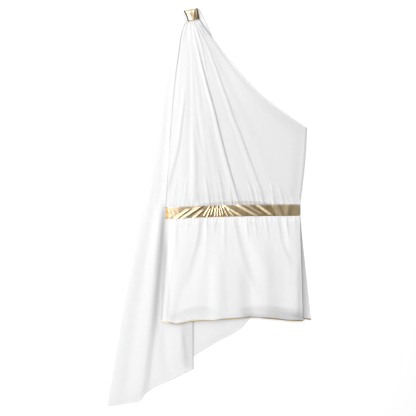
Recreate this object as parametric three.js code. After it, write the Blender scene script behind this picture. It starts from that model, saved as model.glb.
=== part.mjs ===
import * as THREE from "three";

// A one-shoulder roman toga costume laid flat, front up, on the plane z = 0.
// Millimetres. +X points to the side without a strap, +Y to the gathered shoulder, +Z up.
// The layers, from the lowest: cape, back panels, skirt lining, front panels, shoulder band.

const { clamp, lerp, smoothstep } = THREE.MathUtils;

// Cloth
const clothWall = 1.2;
const liningWall = 1;
const bandWall = 1.8;
const seamGap = 0.3;

// Heights of the layers' undersides above the bed that the dress lies on
const seamLevel = clothWall + seamGap;
const bodiceLevel = 2.2;
const waistbandLevel = bandWall + seamGap;
const overskirtLevel = seamLevel + liningWall + seamGap;

// Waist seam of the front, along the waistband's upper edge
const waistLeft = new THREE.Vector2(-130.5, -0.5);
const waistRight = new THREE.Vector2(273, 8.5);
const waistArch = 2.5;
const waistbandHeight = 34;
const backWaistArch = 12;

// The gold band round the shoulder gathers
const shoulderBand = {
  topLeft: new THREE.Vector2(-76.5, 587),
  topRight: new THREE.Vector2(-34.5, 598.5),
  rimLeft: new THREE.Vector2(-63, 556.5),
  rimRight: new THREE.Vector2(-28.5, 562.5),
  sideHollow: 2.5,
  underside: 6.5,
  halfHeight: 5,
  wall: 1.5,
};

// The bodice front is a fan: columns run from the band to the waist, then to the side seam
const strap = {
  insideLeft: new THREE.Vector2(-61, 568),
  insideRight: new THREE.Vector2(-35.5, 572.5),
  mouthLeft: new THREE.Vector2(-59, 555.5),
  mouthRight: new THREE.Vector2(-32.5, 560),
  mouthShare: 0.016,
  underside: 10.2,
};
const underarm = new THREE.Vector2(294, 237);
const sideSeamBow = 3;
const waistShare = 0.8;
const bandGathers = 7;
const waistGathers = 30;
const sideColumns = 8;
const backStrapLeft = new THREE.Vector2(-72, 577.5);
const backStrapRight = new THREE.Vector2(-31.5, 589);

// The skirt
const skirtGathers = 28;
const liningInset = 2;
const hemTrimWidth = 3.3;

// The cape: three layers deep from its folded edge to where its left part comes down to the bed
const capeTopLeft = new THREE.Vector2(-80, 580);
const capeFoldTop = new THREE.Vector2(-48, 583);
const capeReturnTop = new THREE.Vector2(-56, 582);
const capeRightTop = new THREE.Vector2(-36, 585);
const capeFoldX = -48;
const capeHemEnd = new THREE.Vector2(159, -295);
const capeEdgeBow = 10.5;
const capeLayerStep = clothWall + seamGap;

// How far the dress takes, right of the cape's edges, to come down a layer
const dressOverFold = { clear: 8, ramp: 90, height: 2 * capeLayerStep + 0.4 };
const dressOverEdge = { clear: 5, ramp: 60, height: capeLayerStep };

// Reads a column of a table, easing between the rows on either side of a share.
function read(table, share, column) {
  let row = 0;
  while (row < table.length - 2 && share > table[row + 1].at) row += 1;
  const [before, after] = [table[row], table[row + 1]];
  const step = smoothstep(share, before.at, after.at);
  return lerp(before[column], after[column], step);
}

// A soft bump, 1 at its crest and 0 from its half-width outwards.
function bump(away) {
  const left = 1 - Math.min(1, away * away);
  return left * left;
}

// The same uneven factor for the same gather on every build, from low to 1.
function uneven(number, low) {
  return lerp(low, 1, 0.5 + 0.5 * Math.sin(number * 2.4 + 0.7));
}

// Shares of a length from 0 to 1 in equal steps.
function steps(count) {
  return Array.from({ length: count + 1 }, (_, i) => i / count);
}

// The line of the waist seam. The back's arches higher, so that it shows above the front's.
function waistShareAt(x) {
  return clamp((x - waistLeft.x) / (waistRight.x - waistLeft.x), 0, 1);
}

function frontWaistY(x) {
  const share = waistShareAt(x);
  return lerp(waistLeft.y, waistRight.y, share) + waistArch * Math.sin(Math.PI * share);
}

function backWaistY(x) {
  const share = waistShareAt(x);
  const arch = smoothstep(share, 0.08, 0.5) * (1 - smoothstep(share, 0.58, 0.95));
  return frontWaistY(x) + backWaistArch * arch;
}

// The height of what the dress lies on: the folded cape on the left, one layer further right, then the floor.
function bedHeight(x, y) {
  const down = (capeRightTop.y - y) / (capeRightTop.y - capeHemEnd.y);
  const rampDown = ({ clear, ramp, height }, edge) =>
    height * (1 - smoothstep(x, edge + clear, edge + clear + ramp));
  const capeRightX = lerp(capeRightTop.x, capeHemEnd.x, clamp(down, 0, 1));
  return rampDown(dressOverEdge, capeRightX) + rampDown(dressOverFold, capeFoldX);
}

// A closed wall from two grids of points, the rows running down and the columns to the right.
function wallBetween(upper, lower) {
  const rows = upper.length;
  const columns = upper[0].length;
  const count = rows * columns;
  const points = [...upper.flat(), ...lower.flat()];
  const top = (row, column) => row * columns + column;
  const faces = [];
  for (let row = 0; row < rows - 1; row += 1) {
    for (let column = 0; column < columns - 1; column += 1) {
      const a = top(row, column);
      const b = top(row + 1, column);
      const c = top(row + 1, column + 1);
      const d = top(row, column + 1);
      faces.push(a, b, c, a, c, d);
      faces.push(a + count, c + count, b + count, a + count, d + count, c + count);
    }
  }
  const border = [];
  for (let column = 0; column < columns - 1; column += 1) border.push(top(0, column));
  for (let row = 0; row < rows - 1; row += 1) border.push(top(row, columns - 1));
  for (let column = columns - 1; column > 0; column -= 1) border.push(top(rows - 1, column));
  for (let row = rows - 1; row > 0; row -= 1) border.push(top(row, 0));
  border.forEach((from, i) => {
    const to = border[(i + 1) % border.length];
    faces.push(from, to, to + count, from, to + count, from + count);
  });
  return closedGeometry(points, faces);
}

function closedGeometry(points, faces) {
  const geometry = new THREE.BufferGeometry();
  geometry.setFromPoints(points);
  geometry.setIndex(faces);
  geometry.computeVertexNormals();
  return geometry;
}

// A wall of even height over an underside, which is given as a grid of points.
function wallOver(underside, height) {
  const lift = new THREE.Vector3(0, 0, height);
  return wallBetween(underside.map((row) => row.map((p) => p.clone().add(lift))), underside);
}

// A wall of even thickness about a middle surface that may fold over itself.
function wallAbout(middle, thickness) {
  const rows = middle.length;
  const columns = middle[0].length;
  const offset = (side) =>
    middle.map((line, row) =>
      line.map((p, column) => {
        const down = middle[Math.min(row + 1, rows - 1)][column]
          .clone()
          .sub(middle[Math.max(row - 1, 0)][column]);
        const across = line[Math.min(column + 1, columns - 1)].clone().sub(line[Math.max(column - 1, 0)]);
        const normal = down.cross(across).normalize();
        return p.clone().addScaledVector(normal, (side * thickness) / 2);
      }),
    );
  return wallBetween(offset(1), offset(-1));
}

// A point on the way from one point to another, bowed sideways; skew moves the bow's crest along.
function bowed(from, to, share, bow, skew) {
  const chord = to.clone().sub(from);
  const side = new THREE.Vector2(chord.y, -chord.x).normalize();
  const sag = bow * Math.sin(Math.PI * Math.pow(share, skew));
  return from.clone().addScaledVector(chord, share).addScaledVector(side, sag);
}

// Where a bodice column ends: on the waist seam up to waistShare, then up the side seam.
function bodiceEnd(share, waistY) {
  if (share <= waistShare) {
    const x = lerp(waistLeft.x, waistRight.x, share / waistShare);
    return new THREE.Vector2(x, waistY(x) + seamGap);
  }
  const corner = new THREE.Vector2(waistRight.x, waistY(waistRight.x) + seamGap);
  return bowed(corner, underarm, (share - waistShare) / (1 - waistShare), sideSeamBow, 1);
}

// Bow of the bodice's columns to the strap side, mm, and where along them it is deepest.
const frontFan = [
  { at: 0, bow: 21, skew: 0.55 },
  { at: 0.2, bow: 9, skew: 0.7 },
  { at: 0.44, bow: 3, skew: 0.9 },
  { at: 0.6, bow: -7, skew: 1 },
  { at: 0.82, bow: 2, skew: 1 },
  { at: 1, bow: 30, skew: 0.97 },
];
const backFan = [
  { at: 0, bow: 12, skew: 0.8 },
  { at: 0.5, bow: 0, skew: 1 },
  { at: 1, bow: 35, skew: 1 },
];

// Folds of the bodice front. At the band and at the end the crest has these shares of the width;
// left and right are its half-widths as shares, and the heights are in mm.
const bodiceFolds = [
  { start: 0.06, end: 0.035, left: 0.05, right: 0.045, top: 1, middle: 3, foot: 1 },
  { start: 0.17, end: 0.1, left: 0.06, right: 0.05, top: 1, middle: 4.5, foot: 1.5 },
  { start: 0.25, end: 0.19, left: 0.045, right: 0.04, top: 1, middle: 3.5, foot: 1.5 },
  { start: 0.31, end: 0.27, left: 0.04, right: 0.04, top: 1, middle: 3, foot: 1.5 },
  { start: 0.43, end: 0.425, left: 0.1, right: 0.02, top: 1.5, middle: 7, foot: 2.5 },
  { start: 0.58, end: 0.572, left: 0.1, right: 0.02, top: 1.5, middle: 5.5, foot: 2.5 },
  { start: 0.72, end: 0.68, left: 0.07, right: 0.08, top: 1, middle: 1.8, foot: 1 },
  { start: 0.9, end: 0.86, left: 0.09, right: 0.08, top: 1, middle: 1.2, foot: 0.5 },
];

// Folds of the skirt front, from the waistband to the hem, read the same way.
const skirtFolds = [
  { start: 0.06, end: 0.05, left: 0.05, right: 0.06, top: 0.5, middle: 2, foot: 2.5 },
  { start: 0.275, end: 0.285, left: 0.02, right: 0.14, top: 1, middle: 4.5, foot: 5 },
  { start: 0.42, end: 0.46, left: 0.08, right: 0.1, top: 0.5, middle: 3.5, foot: 4.5 },
  { start: 0.7, end: 0.72, left: 0.1, right: 0.09, top: 0.5, middle: 4, foot: 5 },
  { start: 0.9, end: 0.92, left: 0.07, right: 0.06, top: 0.5, middle: 3, foot: 3.5 },
];

// Height of a table of folds at a share across and a share down.
function foldHeight(folds, across, down) {
  return folds.reduce((height, fold) => {
    const crest = lerp(fold.start, fold.end, down);
    const width = across < crest ? fold.left : fold.right;
    const upper = lerp(fold.top, fold.middle, Math.min(1, down * 2));
    const tall = lerp(upper, fold.foot, Math.max(0, down * 2 - 1));
    return height + tall * bump((across - crest) / width);
  }, 0);
}

// Short gathers beside a seam: one wave for each, two columns to a wave.
function gatherHeight(share, count, height) {
  const wave = share * count;
  return height * uneven(Math.floor(wave), 0.45) * (0.5 - 0.5 * Math.cos(2 * Math.PI * wave));
}

const bodiceRows = [0, 0.016, 0.04, 0.09, 0.17, 0.28, 0.4, 0.53, 0.66, 0.78, 0.88, 0.95, 1];
const bodiceColumns = [
  ...steps(2 * waistGathers).map((share) => share * waistShare),
  ...steps(sideColumns).slice(1).map((share) => lerp(waistShare, 1, share)),
];

// 0 at the side seams, where front and back are sewn together, and 1 inside them.
function insideSeams(across, down) {
  const strapSide = smoothstep(across, 0, 0.05);
  const openSide = lerp(1, smoothstep(1 - down, 0, 0.12), smoothstep(across, waistShare - 0.02, waistShare));
  return strapSide * openSide;
}

function makeBodiceFront() {
  const mouth = strap.mouthShare;
  const underside = bodiceRows.map((down) =>
    bodiceColumns.map((across) => {
      const start = strap.mouthLeft.clone().lerp(strap.mouthRight, across);
      if (down < mouth) {
        const inside = strap.insideLeft.clone().lerp(strap.insideRight, across);
        const gathered = gatherHeight(across, bandGathers, 1.2);
        return new THREE.Vector3(inside.x, inside.y, strap.underside + gathered);
      }
      const share = (down - mouth) / (1 - mouth);
      const bow = read(frontFan, across, "bow");
      const p = bowed(start, bodiceEnd(across, frontWaistY), share, bow, read(frontFan, across, "skew"));
      const inner = insideSeams(across, share);
      const rest = bedHeight(p.x, p.y) + lerp(seamLevel, bodiceLevel, inner);
      const folds = inner * foldHeight(bodiceFolds, across, share) * smoothstep(share, 0, 0.12);
      const atBand = gatherHeight(across, bandGathers, lerp(1.2, 2.6, smoothstep(share, 0, 0.1)));
      const alongWaist = Math.min(1, across / waistShare);
      const atWaist = inner * gatherHeight(alongWaist, waistGathers, 2);
      const z =
        lerp(strap.underside, rest, smoothstep(share, 0, 0.16)) +
        folds +
        atBand * (1 - smoothstep(share, 0.08, 0.45)) +
        atWaist * smoothstep(share, 0.8, 0.97);
      return new THREE.Vector3(p.x, p.y, z);
    }),
  );
  return wallOver(underside, clothWall);
}

function makeBodiceBack() {
  const toWaist = steps(18).map((share) => share * waistShare);
  const toSide = steps(5).slice(1).map((share) => lerp(waistShare, 1, share));
  const underside = steps(11).map((down) =>
    [...toWaist, ...toSide].map((across) => {
      const start = backStrapLeft.clone().lerp(backStrapRight, across);
      const end = bodiceEnd(across, backWaistY);
      const p = bowed(start, end, down, read(backFan, across, "bow"), read(backFan, across, "skew"));
      return new THREE.Vector3(p.x, p.y, bedHeight(p.x, p.y));
    }),
  );
  return wallOver(underside, clothWall);
}

// Hems, from the strap side, at the finished edge
const frontHem = new THREE.SplineCurve(
  [
    [-144, -340.5],
    [-123, -345],
    [-98, -349.5],
    [-57, -341.5],
    [12, -338],
    [102, -332],
    [135, -330.5],
    [190, -334.5],
    [237, -340],
    [282, -341],
  ].map((xy) => new THREE.Vector2(...xy)),
);
const backHem = new THREE.SplineCurve(
  [
    [-138, -338],
    [-57, -327],
    [48, -312],
    [153, -313.5],
    [228, -321],
    [282, -334.5],
    [306, -337.5],
  ].map((xy) => new THREE.Vector2(...xy)),
);
const liningHem = new THREE.SplineCurve(
  [
    [-114, -322.5],
    [-57, -301],
    [-21, -295.5],
    [9, -304],
    [57, -303],
    [102, -304.5],
    [150, -292.5],
    [216, -300],
    [270, -309],
  ].map((xy) => new THREE.Vector2(...xy)),
);

// How the skirt's columns, evenly spread at the waistband, lie along the hem.
const skirtSpread = [
  { at: 0, hem: 0 },
  { at: 0.26, hem: 0.11 },
  { at: 0.56, hem: 0.57 },
  { at: 0.8, hem: 0.83 },
  { at: 1, hem: 1 },
];

function spreadShare(across) {
  const row = skirtSpread.findLastIndex((entry) => entry.at <= Math.min(across, 0.999));
  const [before, after] = [skirtSpread[row], skirtSpread[row + 1]];
  return lerp(before.hem, after.hem, (across - before.at) / (after.at - before.at));
}

// Underside of a skirt panel: from the waistband's lower edge to the trim on its hem.
function skirtUnderside(columns, rows, waistY, hemPoint, sideInset, heightAt) {
  return rows.map((down) =>
    columns.map((across) => {
      const x = lerp(waistLeft.x + sideInset, waistRight.x - sideInset, across);
      const from = new THREE.Vector2(x, waistY(x) - waistbandHeight - seamGap);
      const p = from.lerp(hemPoint(across), down);
      return new THREE.Vector3(p.x, p.y, bedHeight(p.x, p.y) + heightAt(across, down));
    }),
  );
}

const skirtColumns = steps(2 * skirtGathers);
const skirtRows = [0, 0.05, 0.13, 0.26, 0.42, 0.58, 0.74, 0.87, 0.94, 1];

function skirtFrontUnderside() {
  const aboveTrim = new THREE.Vector2(0, hemTrimWidth + seamGap);
  const hemPoint = (across) => frontHem.getPointAt(spreadShare(across)).add(aboveTrim);
  const heightAt = (across, down) => {
    const folds = foldHeight(skirtFolds, across, down) * smoothstep(down, 0, 0.25);
    const gathers = gatherHeight(across, skirtGathers, 1.8) * (1 - smoothstep(down, 0.08, 0.3));
    const slitEdge = 1.5 * smoothstep(across, 0.96, 1) * smoothstep(down, 0.05, 0.5);
    return overskirtLevel + folds + gathers + slitEdge;
  };
  return skirtUnderside(skirtColumns, skirtRows, frontWaistY, hemPoint, 0, heightAt);
}

function makeSkirtFront() {
  return wallOver(skirtFrontUnderside(), clothWall);
}

const skirtBackColumns = steps(20);

function skirtBackUnderside() {
  const aboveTrim = new THREE.Vector2(0, hemTrimWidth + seamGap);
  const hemPoint = (across) => backHem.getPointAt(across).add(aboveTrim);
  return skirtUnderside(skirtBackColumns, steps(6), backWaistY, hemPoint, 0, () => 0);
}

function makeSkirtBack() {
  return wallOver(skirtBackUnderside(), clothWall);
}

function makeSkirtLining() {
  const hemPoint = (across) => liningHem.getPointAt(across);
  const underside = skirtUnderside(steps(22), steps(5), frontWaistY, hemPoint, liningInset, () => seamLevel);
  return wallOver(underside, liningWall);
}

// A rolled trim along the edge that an underside's last row gives, just clear of it.
function makeHemTrim(underside) {
  const edge = underside.at(-1);
  const section = [
    { away: seamGap, height: clothWall },
    { away: seamGap + hemTrimWidth / 2, height: bandWall },
    { away: seamGap + hemTrimWidth, height: clothWall },
  ];
  const line = (away, height) => edge.map((p) => new THREE.Vector3(p.x, p.y - away, p.z + height));
  return wallBetween(
    section.map(({ away, height }) => line(away, height)),
    section.map(({ away }) => line(away, 0)),
  );
}

// Crests of the waistband's ruching along its upper edge, as shares of its length; height in mm.
const ruches = [
  { at: 0.115, height: 1.6 },
  { at: 0.19, height: 2.2 },
  { at: 0.25, height: 2 },
  { at: 0.29, height: 1.6 },
  { at: 0.32, height: 1.5 },
  { at: 0.35, height: 1.7 },
  { at: 0.38, height: 1.4 },
  { at: 0.41, height: 1.7 },
  { at: 0.44, height: 1.5 },
  { at: 0.475, height: 1.8 },
  { at: 0.53, height: 2.2 },
  { at: 0.61, height: 2.3 },
  { at: 0.71, height: 2 },
];

// The ruches fan out downwards from the middle, and the slant dies out towards both ends.
const rucheSlant = [
  { at: 0, slant: 0 },
  { at: 0.15, slant: -38 },
  { at: 0.27, slant: -34 },
  { at: 0.38, slant: 0 },
  { at: 0.5, slant: 52 },
  { at: 0.72, slant: 58 },
  { at: 1, slant: 0 },
];

function makeWaistbandFront() {
  const stations = [{ at: 0, height: 0 }, { at: 0.06, height: 0 }];
  ruches.forEach((ruche, i) => {
    stations.push(ruche);
    const next = i + 1 < ruches.length ? ruches[i + 1].at : ruche.at + 0.08;
    stations.push({ at: (ruche.at + next) / 2, height: 0 });
  });
  [0.84, 0.92, 1].forEach((at) => stations.push({ at, height: 0 }));
  const underside = steps(3).map((down) =>
    stations.map(({ at, height }) => {
      const slant = read(rucheSlant, at, "slant") * (down - 0.35);
      const x = lerp(waistLeft.x, waistRight.x, at) + slant;
      const y = frontWaistY(x) - waistbandHeight * down;
      return new THREE.Vector3(x, y, bedHeight(x, y) + waistbandLevel + height);
    }),
  );
  return wallOver(underside, bandWall);
}

function makeWaistbandBack() {
  const underside = steps(2).map((down) =>
    steps(20).map((across) => {
      const x = lerp(waistLeft.x, waistRight.x, across);
      const y = backWaistY(x) - waistbandHeight * down;
      return new THREE.Vector3(x, y, bedHeight(x, y));
    }),
  );
  return wallOver(underside, bandWall);
}

// Stations of the cape's upper layer at the hem: height is the fold's, mm, at its highest row.
const capeHem = [
  { x: -306, y: -598.5, height: 0 },
  { x: -276, y: -594.5, height: 2.5 },
  { x: -240, y: -588.5, height: 8 },
  { x: -208, y: -581, height: 8.5 },
  { x: -193, y: -563, height: 2.5 },
  { x: -176, y: -549, height: 0 },
  { x: -145, y: -532, height: 1 },
  { x: -110, y: -515.5, height: 2.5 },
  { x: -75, y: -498, height: 0.5 },
  { x: capeFoldX, y: -484.5, height: 0 },
];
// The lobe under it, from the second fold to the cape's last corner.
const capeUnderHem = [
  { x: -87, y: -466, height: 0 },
  { x: -48, y: -448.5, height: 0 },
  { x: 15, y: -409.5, height: 2 },
  { x: 66, y: -383, height: 0.5 },
  { x: 102, y: -359, height: 1.5 },
  { x: 126, y: -329, height: 0 },
  { x: capeHemEnd.x, y: capeHemEnd.y, height: 0 },
];
const capeRows = [0, 0.03, 0.08, 0.15, 0.24, 0.34, 0.45, 0.56, 0.67, 0.77, 0.86, 0.93, 0.97, 1];

// A smooth run of stations at even steps through some of them.
function stationsAlong(points, count) {
  const line = new THREE.CatmullRomCurve3(points.map((p) => new THREE.Vector3(p.x, p.y, p.height)));
  return line.getPoints(count).map((p) => ({ x: p.x, y: p.y, height: Math.max(0, p.z) }));
}

// The cape's columns in order along its cloth: upper layer, fold, return, fold, lower layer.
function capeColumns() {
  const turn = capeLayerStep / 2;
  const half = clothWall / 2;
  const columns = [];
  const upper = stationsAlong(capeHem, 26);
  upper.forEach((hem, i) => {
    const share = i / (upper.length - 1);
    const level = half + 2 * capeLayerStep * smoothstep(hem.x, -150, -95);
    columns.push({ hem, from: capeTopLeft.clone().lerp(capeFoldTop, share), level, layer: "upper", share });
  });
  const foldEnd = upper.at(-1);
  const backEnd = { x: capeUnderHem[0].x, y: capeUnderHem[0].y };
  const addTurn = (hem, from, outward, level) => {
    for (const angle of [45, 0, -45].map((degrees) => (degrees * Math.PI) / 180)) {
      const out = outward * turn * Math.cos(angle);
      columns.push({
        hem: { x: hem.x + out, y: hem.y, height: 0 },
        from: new THREE.Vector2(from.x + out, from.y),
        level: level + turn * Math.sin(angle),
        layer: "fold",
      });
    }
  };
  addTurn(foldEnd, capeFoldTop, 1, half + 1.5 * capeLayerStep);
  for (const share of [0, 0.5, 1]) {
    columns.push({
      hem: { x: lerp(foldEnd.x, backEnd.x, share), y: lerp(foldEnd.y, backEnd.y, share), height: 0 },
      from: capeFoldTop.clone().lerp(capeReturnTop, share),
      level: half + capeLayerStep,
      layer: "fold",
    });
  }
  addTurn(backEnd, capeReturnTop, -1, half + 0.5 * capeLayerStep);
  const under = stationsAlong(capeUnderHem, 10);
  under.forEach((hem, i) => {
    const from = capeReturnTop.clone().lerp(capeRightTop, i / (under.length - 1));
    columns.push({ hem, from, level: half, layer: "under" });
  });
  return columns;
}

// How high the cape's folds stand along their length, as a share of their full height.
const capeFoldLift = [
  { at: 0, lift: 0.1 },
  { at: 0.15, lift: 0.35 },
  { at: 0.45, lift: 1 },
  { at: 0.75, lift: 0.9 },
  { at: 1, lift: 0.6 },
];

// The dress's edge on the strap side, which the cape's folds keep clear of.
const dressEdge = [
  { at: -352, x: -146 },
  { at: -100, x: -136 },
  { at: 0, x: -131 },
  { at: 230, x: -122 },
  { at: 400, x: -103 },
  { at: 500, x: -84 },
  { at: 585, x: -78 },
];

function dressEdgeX(y) {
  return read(dressEdge, clamp(y, -352, 585), "x");
}

function makeCape() {
  const columns = capeColumns();
  const middle = capeRows.map((down) =>
    columns.map(({ hem, from, level, layer, share }) => {
      const edgeBow = layer === "upper" ? capeEdgeBow * (1 - share) : 0;
      const p = bowed(from, new THREE.Vector2(hem.x, hem.y), down, edgeBow, 1);
      const clearOfDress = Math.max(smoothstep(dressEdgeX(p.y) - p.x, 3, 18), smoothstep(-p.y, 352, 400));
      const lift = read(capeFoldLift, down, "lift") * clearOfDress;
      return new THREE.Vector3(p.x, p.y, level + hem.height * lift);
    }),
  );
  return wallAbout(middle, clothWall);
}

// The band's outline at a share from its folded top to its rim.
function bandSides(down) {
  const hollow = shoulderBand.sideHollow * Math.sin(Math.PI * down);
  const left = shoulderBand.topLeft.clone().lerp(shoulderBand.rimLeft, down);
  const right = shoulderBand.topRight.clone().lerp(shoulderBand.rimRight, down);
  return { left: left.add(new THREE.Vector2(hollow, 0)), right };
}

// A flattened ring across the band, inset from its outer face.
function bandRing(down, inset, sides) {
  const { left, right } = bandSides(down);
  const centre = left.clone().add(right).multiplyScalar(0.5);
  const reach = right.clone().sub(left).multiplyScalar(0.5);
  const along = reach.clone().setLength(reach.length() - inset);
  const fullness = Math.sqrt(clamp(down / 0.3, 0.06, 1) * (2 - clamp(down / 0.3, 0.06, 1)));
  const height = shoulderBand.halfHeight * fullness - inset;
  const middle = shoulderBand.underside + shoulderBand.halfHeight;
  return steps(sides).slice(0, -1).map((turn) => {
    const angle = -2 * Math.PI * turn;
    const squared = (value) => Math.sign(value) * Math.sqrt(Math.abs(value));
    const across = squared(Math.cos(angle));
    return new THREE.Vector3(
      centre.x + along.x * across,
      centre.y + along.y * across,
      middle + height * squared(Math.sin(angle)),
    );
  });
}

// A pocket: outer rings from the folded top down to the rim, and inner ones back up.
function makeShoulderBand() {
  const sides = 20;
  const outer = [0, 0.08, 0.2, 0.45, 0.75, 1].map((down) => bandRing(down, 0, sides));
  const inner = [1, 0.75, 0.5, 0.3].map((down) => bandRing(down, shoulderBand.wall, sides));
  const rings = [...outer, ...inner];
  const points = rings.flat();
  const faces = [];
  for (let ring = 0; ring < rings.length - 1; ring += 1) {
    for (let i = 0; i < sides; i += 1) {
      const next = (i + 1) % sides;
      const a = ring * sides + i;
      const b = ring * sides + next;
      faces.push(a, b + sides, b, a, a + sides, b + sides);
    }
  }
  const addCap = (ring, firstPoint, facingOut) => {
    const centre = ring.reduce((sum, p) => sum.add(p), new THREE.Vector3()).divideScalar(sides);
    points.push(centre);
    for (let i = 0; i < sides; i += 1) {
      const [a, b] = [firstPoint + i, firstPoint + ((i + 1) % sides)];
      faces.push(...(facingOut ? [points.length - 1, a, b] : [points.length - 1, b, a]));
    }
  };
  addCap(outer[0], 0, true);
  addCap(inner.at(-1), (rings.length - 1) * sides, false);
  return closedGeometry(points, faces);
}

const chiffon = new THREE.MeshStandardMaterial({ color: 0xf3f3f4, roughness: 0.75, metalness: 0 });
const liningCloth = new THREE.MeshStandardMaterial({ color: 0xf6f6f6, roughness: 0.6, metalness: 0 });
const goldLame = new THREE.MeshStandardMaterial({ color: 0xc9ab6b, roughness: 0.3, metalness: 0.85 });

const toga = new THREE.Group();

function addPiece(name, geometry, material) {
  const mesh = new THREE.Mesh(geometry, material);
  mesh.name = name;
  toga.add(mesh);
}

addPiece("cape", makeCape(), chiffon);
addPiece("bodice_back", makeBodiceBack(), chiffon);
addPiece("waistband_back", makeWaistbandBack(), goldLame);
addPiece("skirt_back", makeSkirtBack(), chiffon);
addPiece("hem_trim_back", makeHemTrim(skirtBackUnderside()), goldLame);
addPiece("skirt_lining", makeSkirtLining(), liningCloth);
addPiece("skirt_front", makeSkirtFront(), chiffon);
addPiece("hem_trim_front", makeHemTrim(skirtFrontUnderside()), goldLame);
addPiece("bodice_front", makeBodiceFront(), chiffon);
addPiece("waistband_front", makeWaistbandFront(), goldLame);
addPiece("shoulder_band", makeShoulderBand(), goldLame);

export default toga;
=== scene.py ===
"""A one-shoulder roman toga costume of white chiffon and gold lame, laid flat with its front up.

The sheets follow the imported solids' form at a finer scale. Sizes in the tables are millimetres in the
part's frame: +X to the side without a strap, +Y to the shoulder band, +Z up out of the front.
"""

import math

import bpy
import numpy as np
from bpy.props import FloatProperty, FloatVectorProperty, IntProperty, PointerProperty
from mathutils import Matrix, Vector


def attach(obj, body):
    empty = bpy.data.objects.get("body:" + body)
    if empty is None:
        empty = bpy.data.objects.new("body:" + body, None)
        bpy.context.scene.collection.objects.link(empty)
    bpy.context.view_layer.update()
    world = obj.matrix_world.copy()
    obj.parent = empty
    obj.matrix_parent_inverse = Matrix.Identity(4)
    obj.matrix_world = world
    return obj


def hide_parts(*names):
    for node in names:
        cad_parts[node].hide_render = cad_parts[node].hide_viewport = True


bl_info = {
    "name": "Roman Toga Costume",
    "version": (1, 0, 0),
    "blender": (4, 5, 0),
    "location": "View3D > Sidebar > Toga",
    "description": "Makes a one-shoulder roman toga costume of white chiffon and gold lame, laid flat",
    "category": "Add Mesh",
}

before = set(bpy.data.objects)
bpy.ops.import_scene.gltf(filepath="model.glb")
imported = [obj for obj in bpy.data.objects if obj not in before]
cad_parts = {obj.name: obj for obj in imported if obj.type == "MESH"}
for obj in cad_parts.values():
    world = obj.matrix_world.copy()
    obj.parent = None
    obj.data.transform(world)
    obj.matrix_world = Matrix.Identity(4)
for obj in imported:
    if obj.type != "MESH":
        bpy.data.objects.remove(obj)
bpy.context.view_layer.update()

MM = 0.001
TAU = 2 * math.pi


def length_property(name, text, metres):
    return FloatProperty(name=name, description=text, default=metres, unit="LENGTH")


def count_property(name, text, number):
    return IntProperty(name=name, description=text, default=number)


def colour_property(name, text, *rgb):
    return FloatVectorProperty(name=name, description=text, subtype="COLOR", default=rgb)


class TogaSizes(bpy.types.PropertyGroup):
    """Sizes of the costume that a user would change."""

    cloth: length_property("Chiffon", "Thickness of the chiffon", 0.0004)
    lining: length_property("Lining", "Thickness of the lining", 0.0005)
    lame: length_property("Lame", "Thickness of the folded lame", 0.0009)
    trim_radius: length_property("Hem trim", "Radius of the rolled gold hem trim", 0.0017)
    fold_depth: FloatProperty(
        name="Fold depth", description="How high the folds stand, times their own heights", default=1.0
    )
    bodice_gathers: count_property("Bodice gathers", "Gathers along the bodice's waist seam", 34)
    skirt_gathers: count_property("Skirt gathers", "Gathers along the skirt's waist seam", 44)
    stitch: length_property("Stitch", "Length of one machine stitch", 0.0026)


class TogaColours(bpy.types.PropertyGroup):
    """Colours of the cloths, and of the shade painted on them."""

    chiffon: colour_property("Chiffon", "Colour of the white chiffon", 0.955, 0.955, 0.96)
    chiffon_shade: colour_property("Chiffon shade", "Colour deep between the layers", 0.52, 0.52, 0.53)
    lining: colour_property("Lining", "Colour of the lining", 0.955, 0.955, 0.96)
    gold: colour_property("Gold", "Colour of the lame", 0.88, 0.75, 0.53)
    # Painted shade and dark reflection on the lame: in its small creases, between the ruches, towards the
    # waistband's right end, on the hem trim's right and on the shoulder band's facet
    gold_painted_shade: colour_property("Gold painted shade", "Colour painted on the lame where it is shaded", 0.27, 0.175, 0.065)
    floor: colour_property("Floor", "Colour of the floor", 0.95, 0.95, 0.95)


# Points that a smooth curve gets between two given ones, along a crease's path and along an edge
CURVE_STEPS = 24
PATH_POINTS = 80
EDGE_POINTS = 400

# Heights of the layers' middles above the bed that the dress lies on
BACK_LEVEL = 0.5
BACK_BAND_LEVEL = 0.6
LINING_LEVEL = 2.3
BODICE_SEAM_LEVEL = 2.1
BODICE_LEVEL = 2.8
SKIRT_LEVEL = 3.4
WAISTBAND_LEVEL = 3.0

# The waist seam, along the waistband's upper edge
WAIST_LEFT = np.array((-130.5, -0.5))
WAIST_RIGHT = np.array((273.0, 8.5))
WAIST_ARCH = 2.5
WAISTBAND_HEIGHT = 34.0
BACK_WAIST_ARCH = 12.0

# The gold band round the shoulder gathers, as a flattened tube
BAND_TOP_LEFT = np.array((-76.5, 587.0))
BAND_TOP_RIGHT = np.array((-33.5, 595.0))
BAND_RIM_LEFT = np.array((-63.0, 556.5))
BAND_RIM_RIGHT = np.array((-28.5, 562.5))
BAND_HOLLOW = 2.5
BAND_MIDDLE = 11.5
BAND_HALF_HEIGHT = 5.0
BAND_WALL = 1.0
BAND_SIDES = 96

# The bodice is a fan: its columns run from the band to the waist, then to the side seam
STRAP_INSIDE = np.array(((-60.0, 568.0), (-36.5, 572.5)))
STRAP_MOUTH = np.array(((-59.0, 555.5), (-32.5, 560.0)))
STRAP_LEVEL = 10.9
UNDERARM = np.array((294.0, 237.0))
SIDE_BOW = 3.0
WAIST_SHARE = 0.8
BACK_STRAP = np.array(((-72.0, 577.5), (-31.5, 589.0)))

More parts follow.
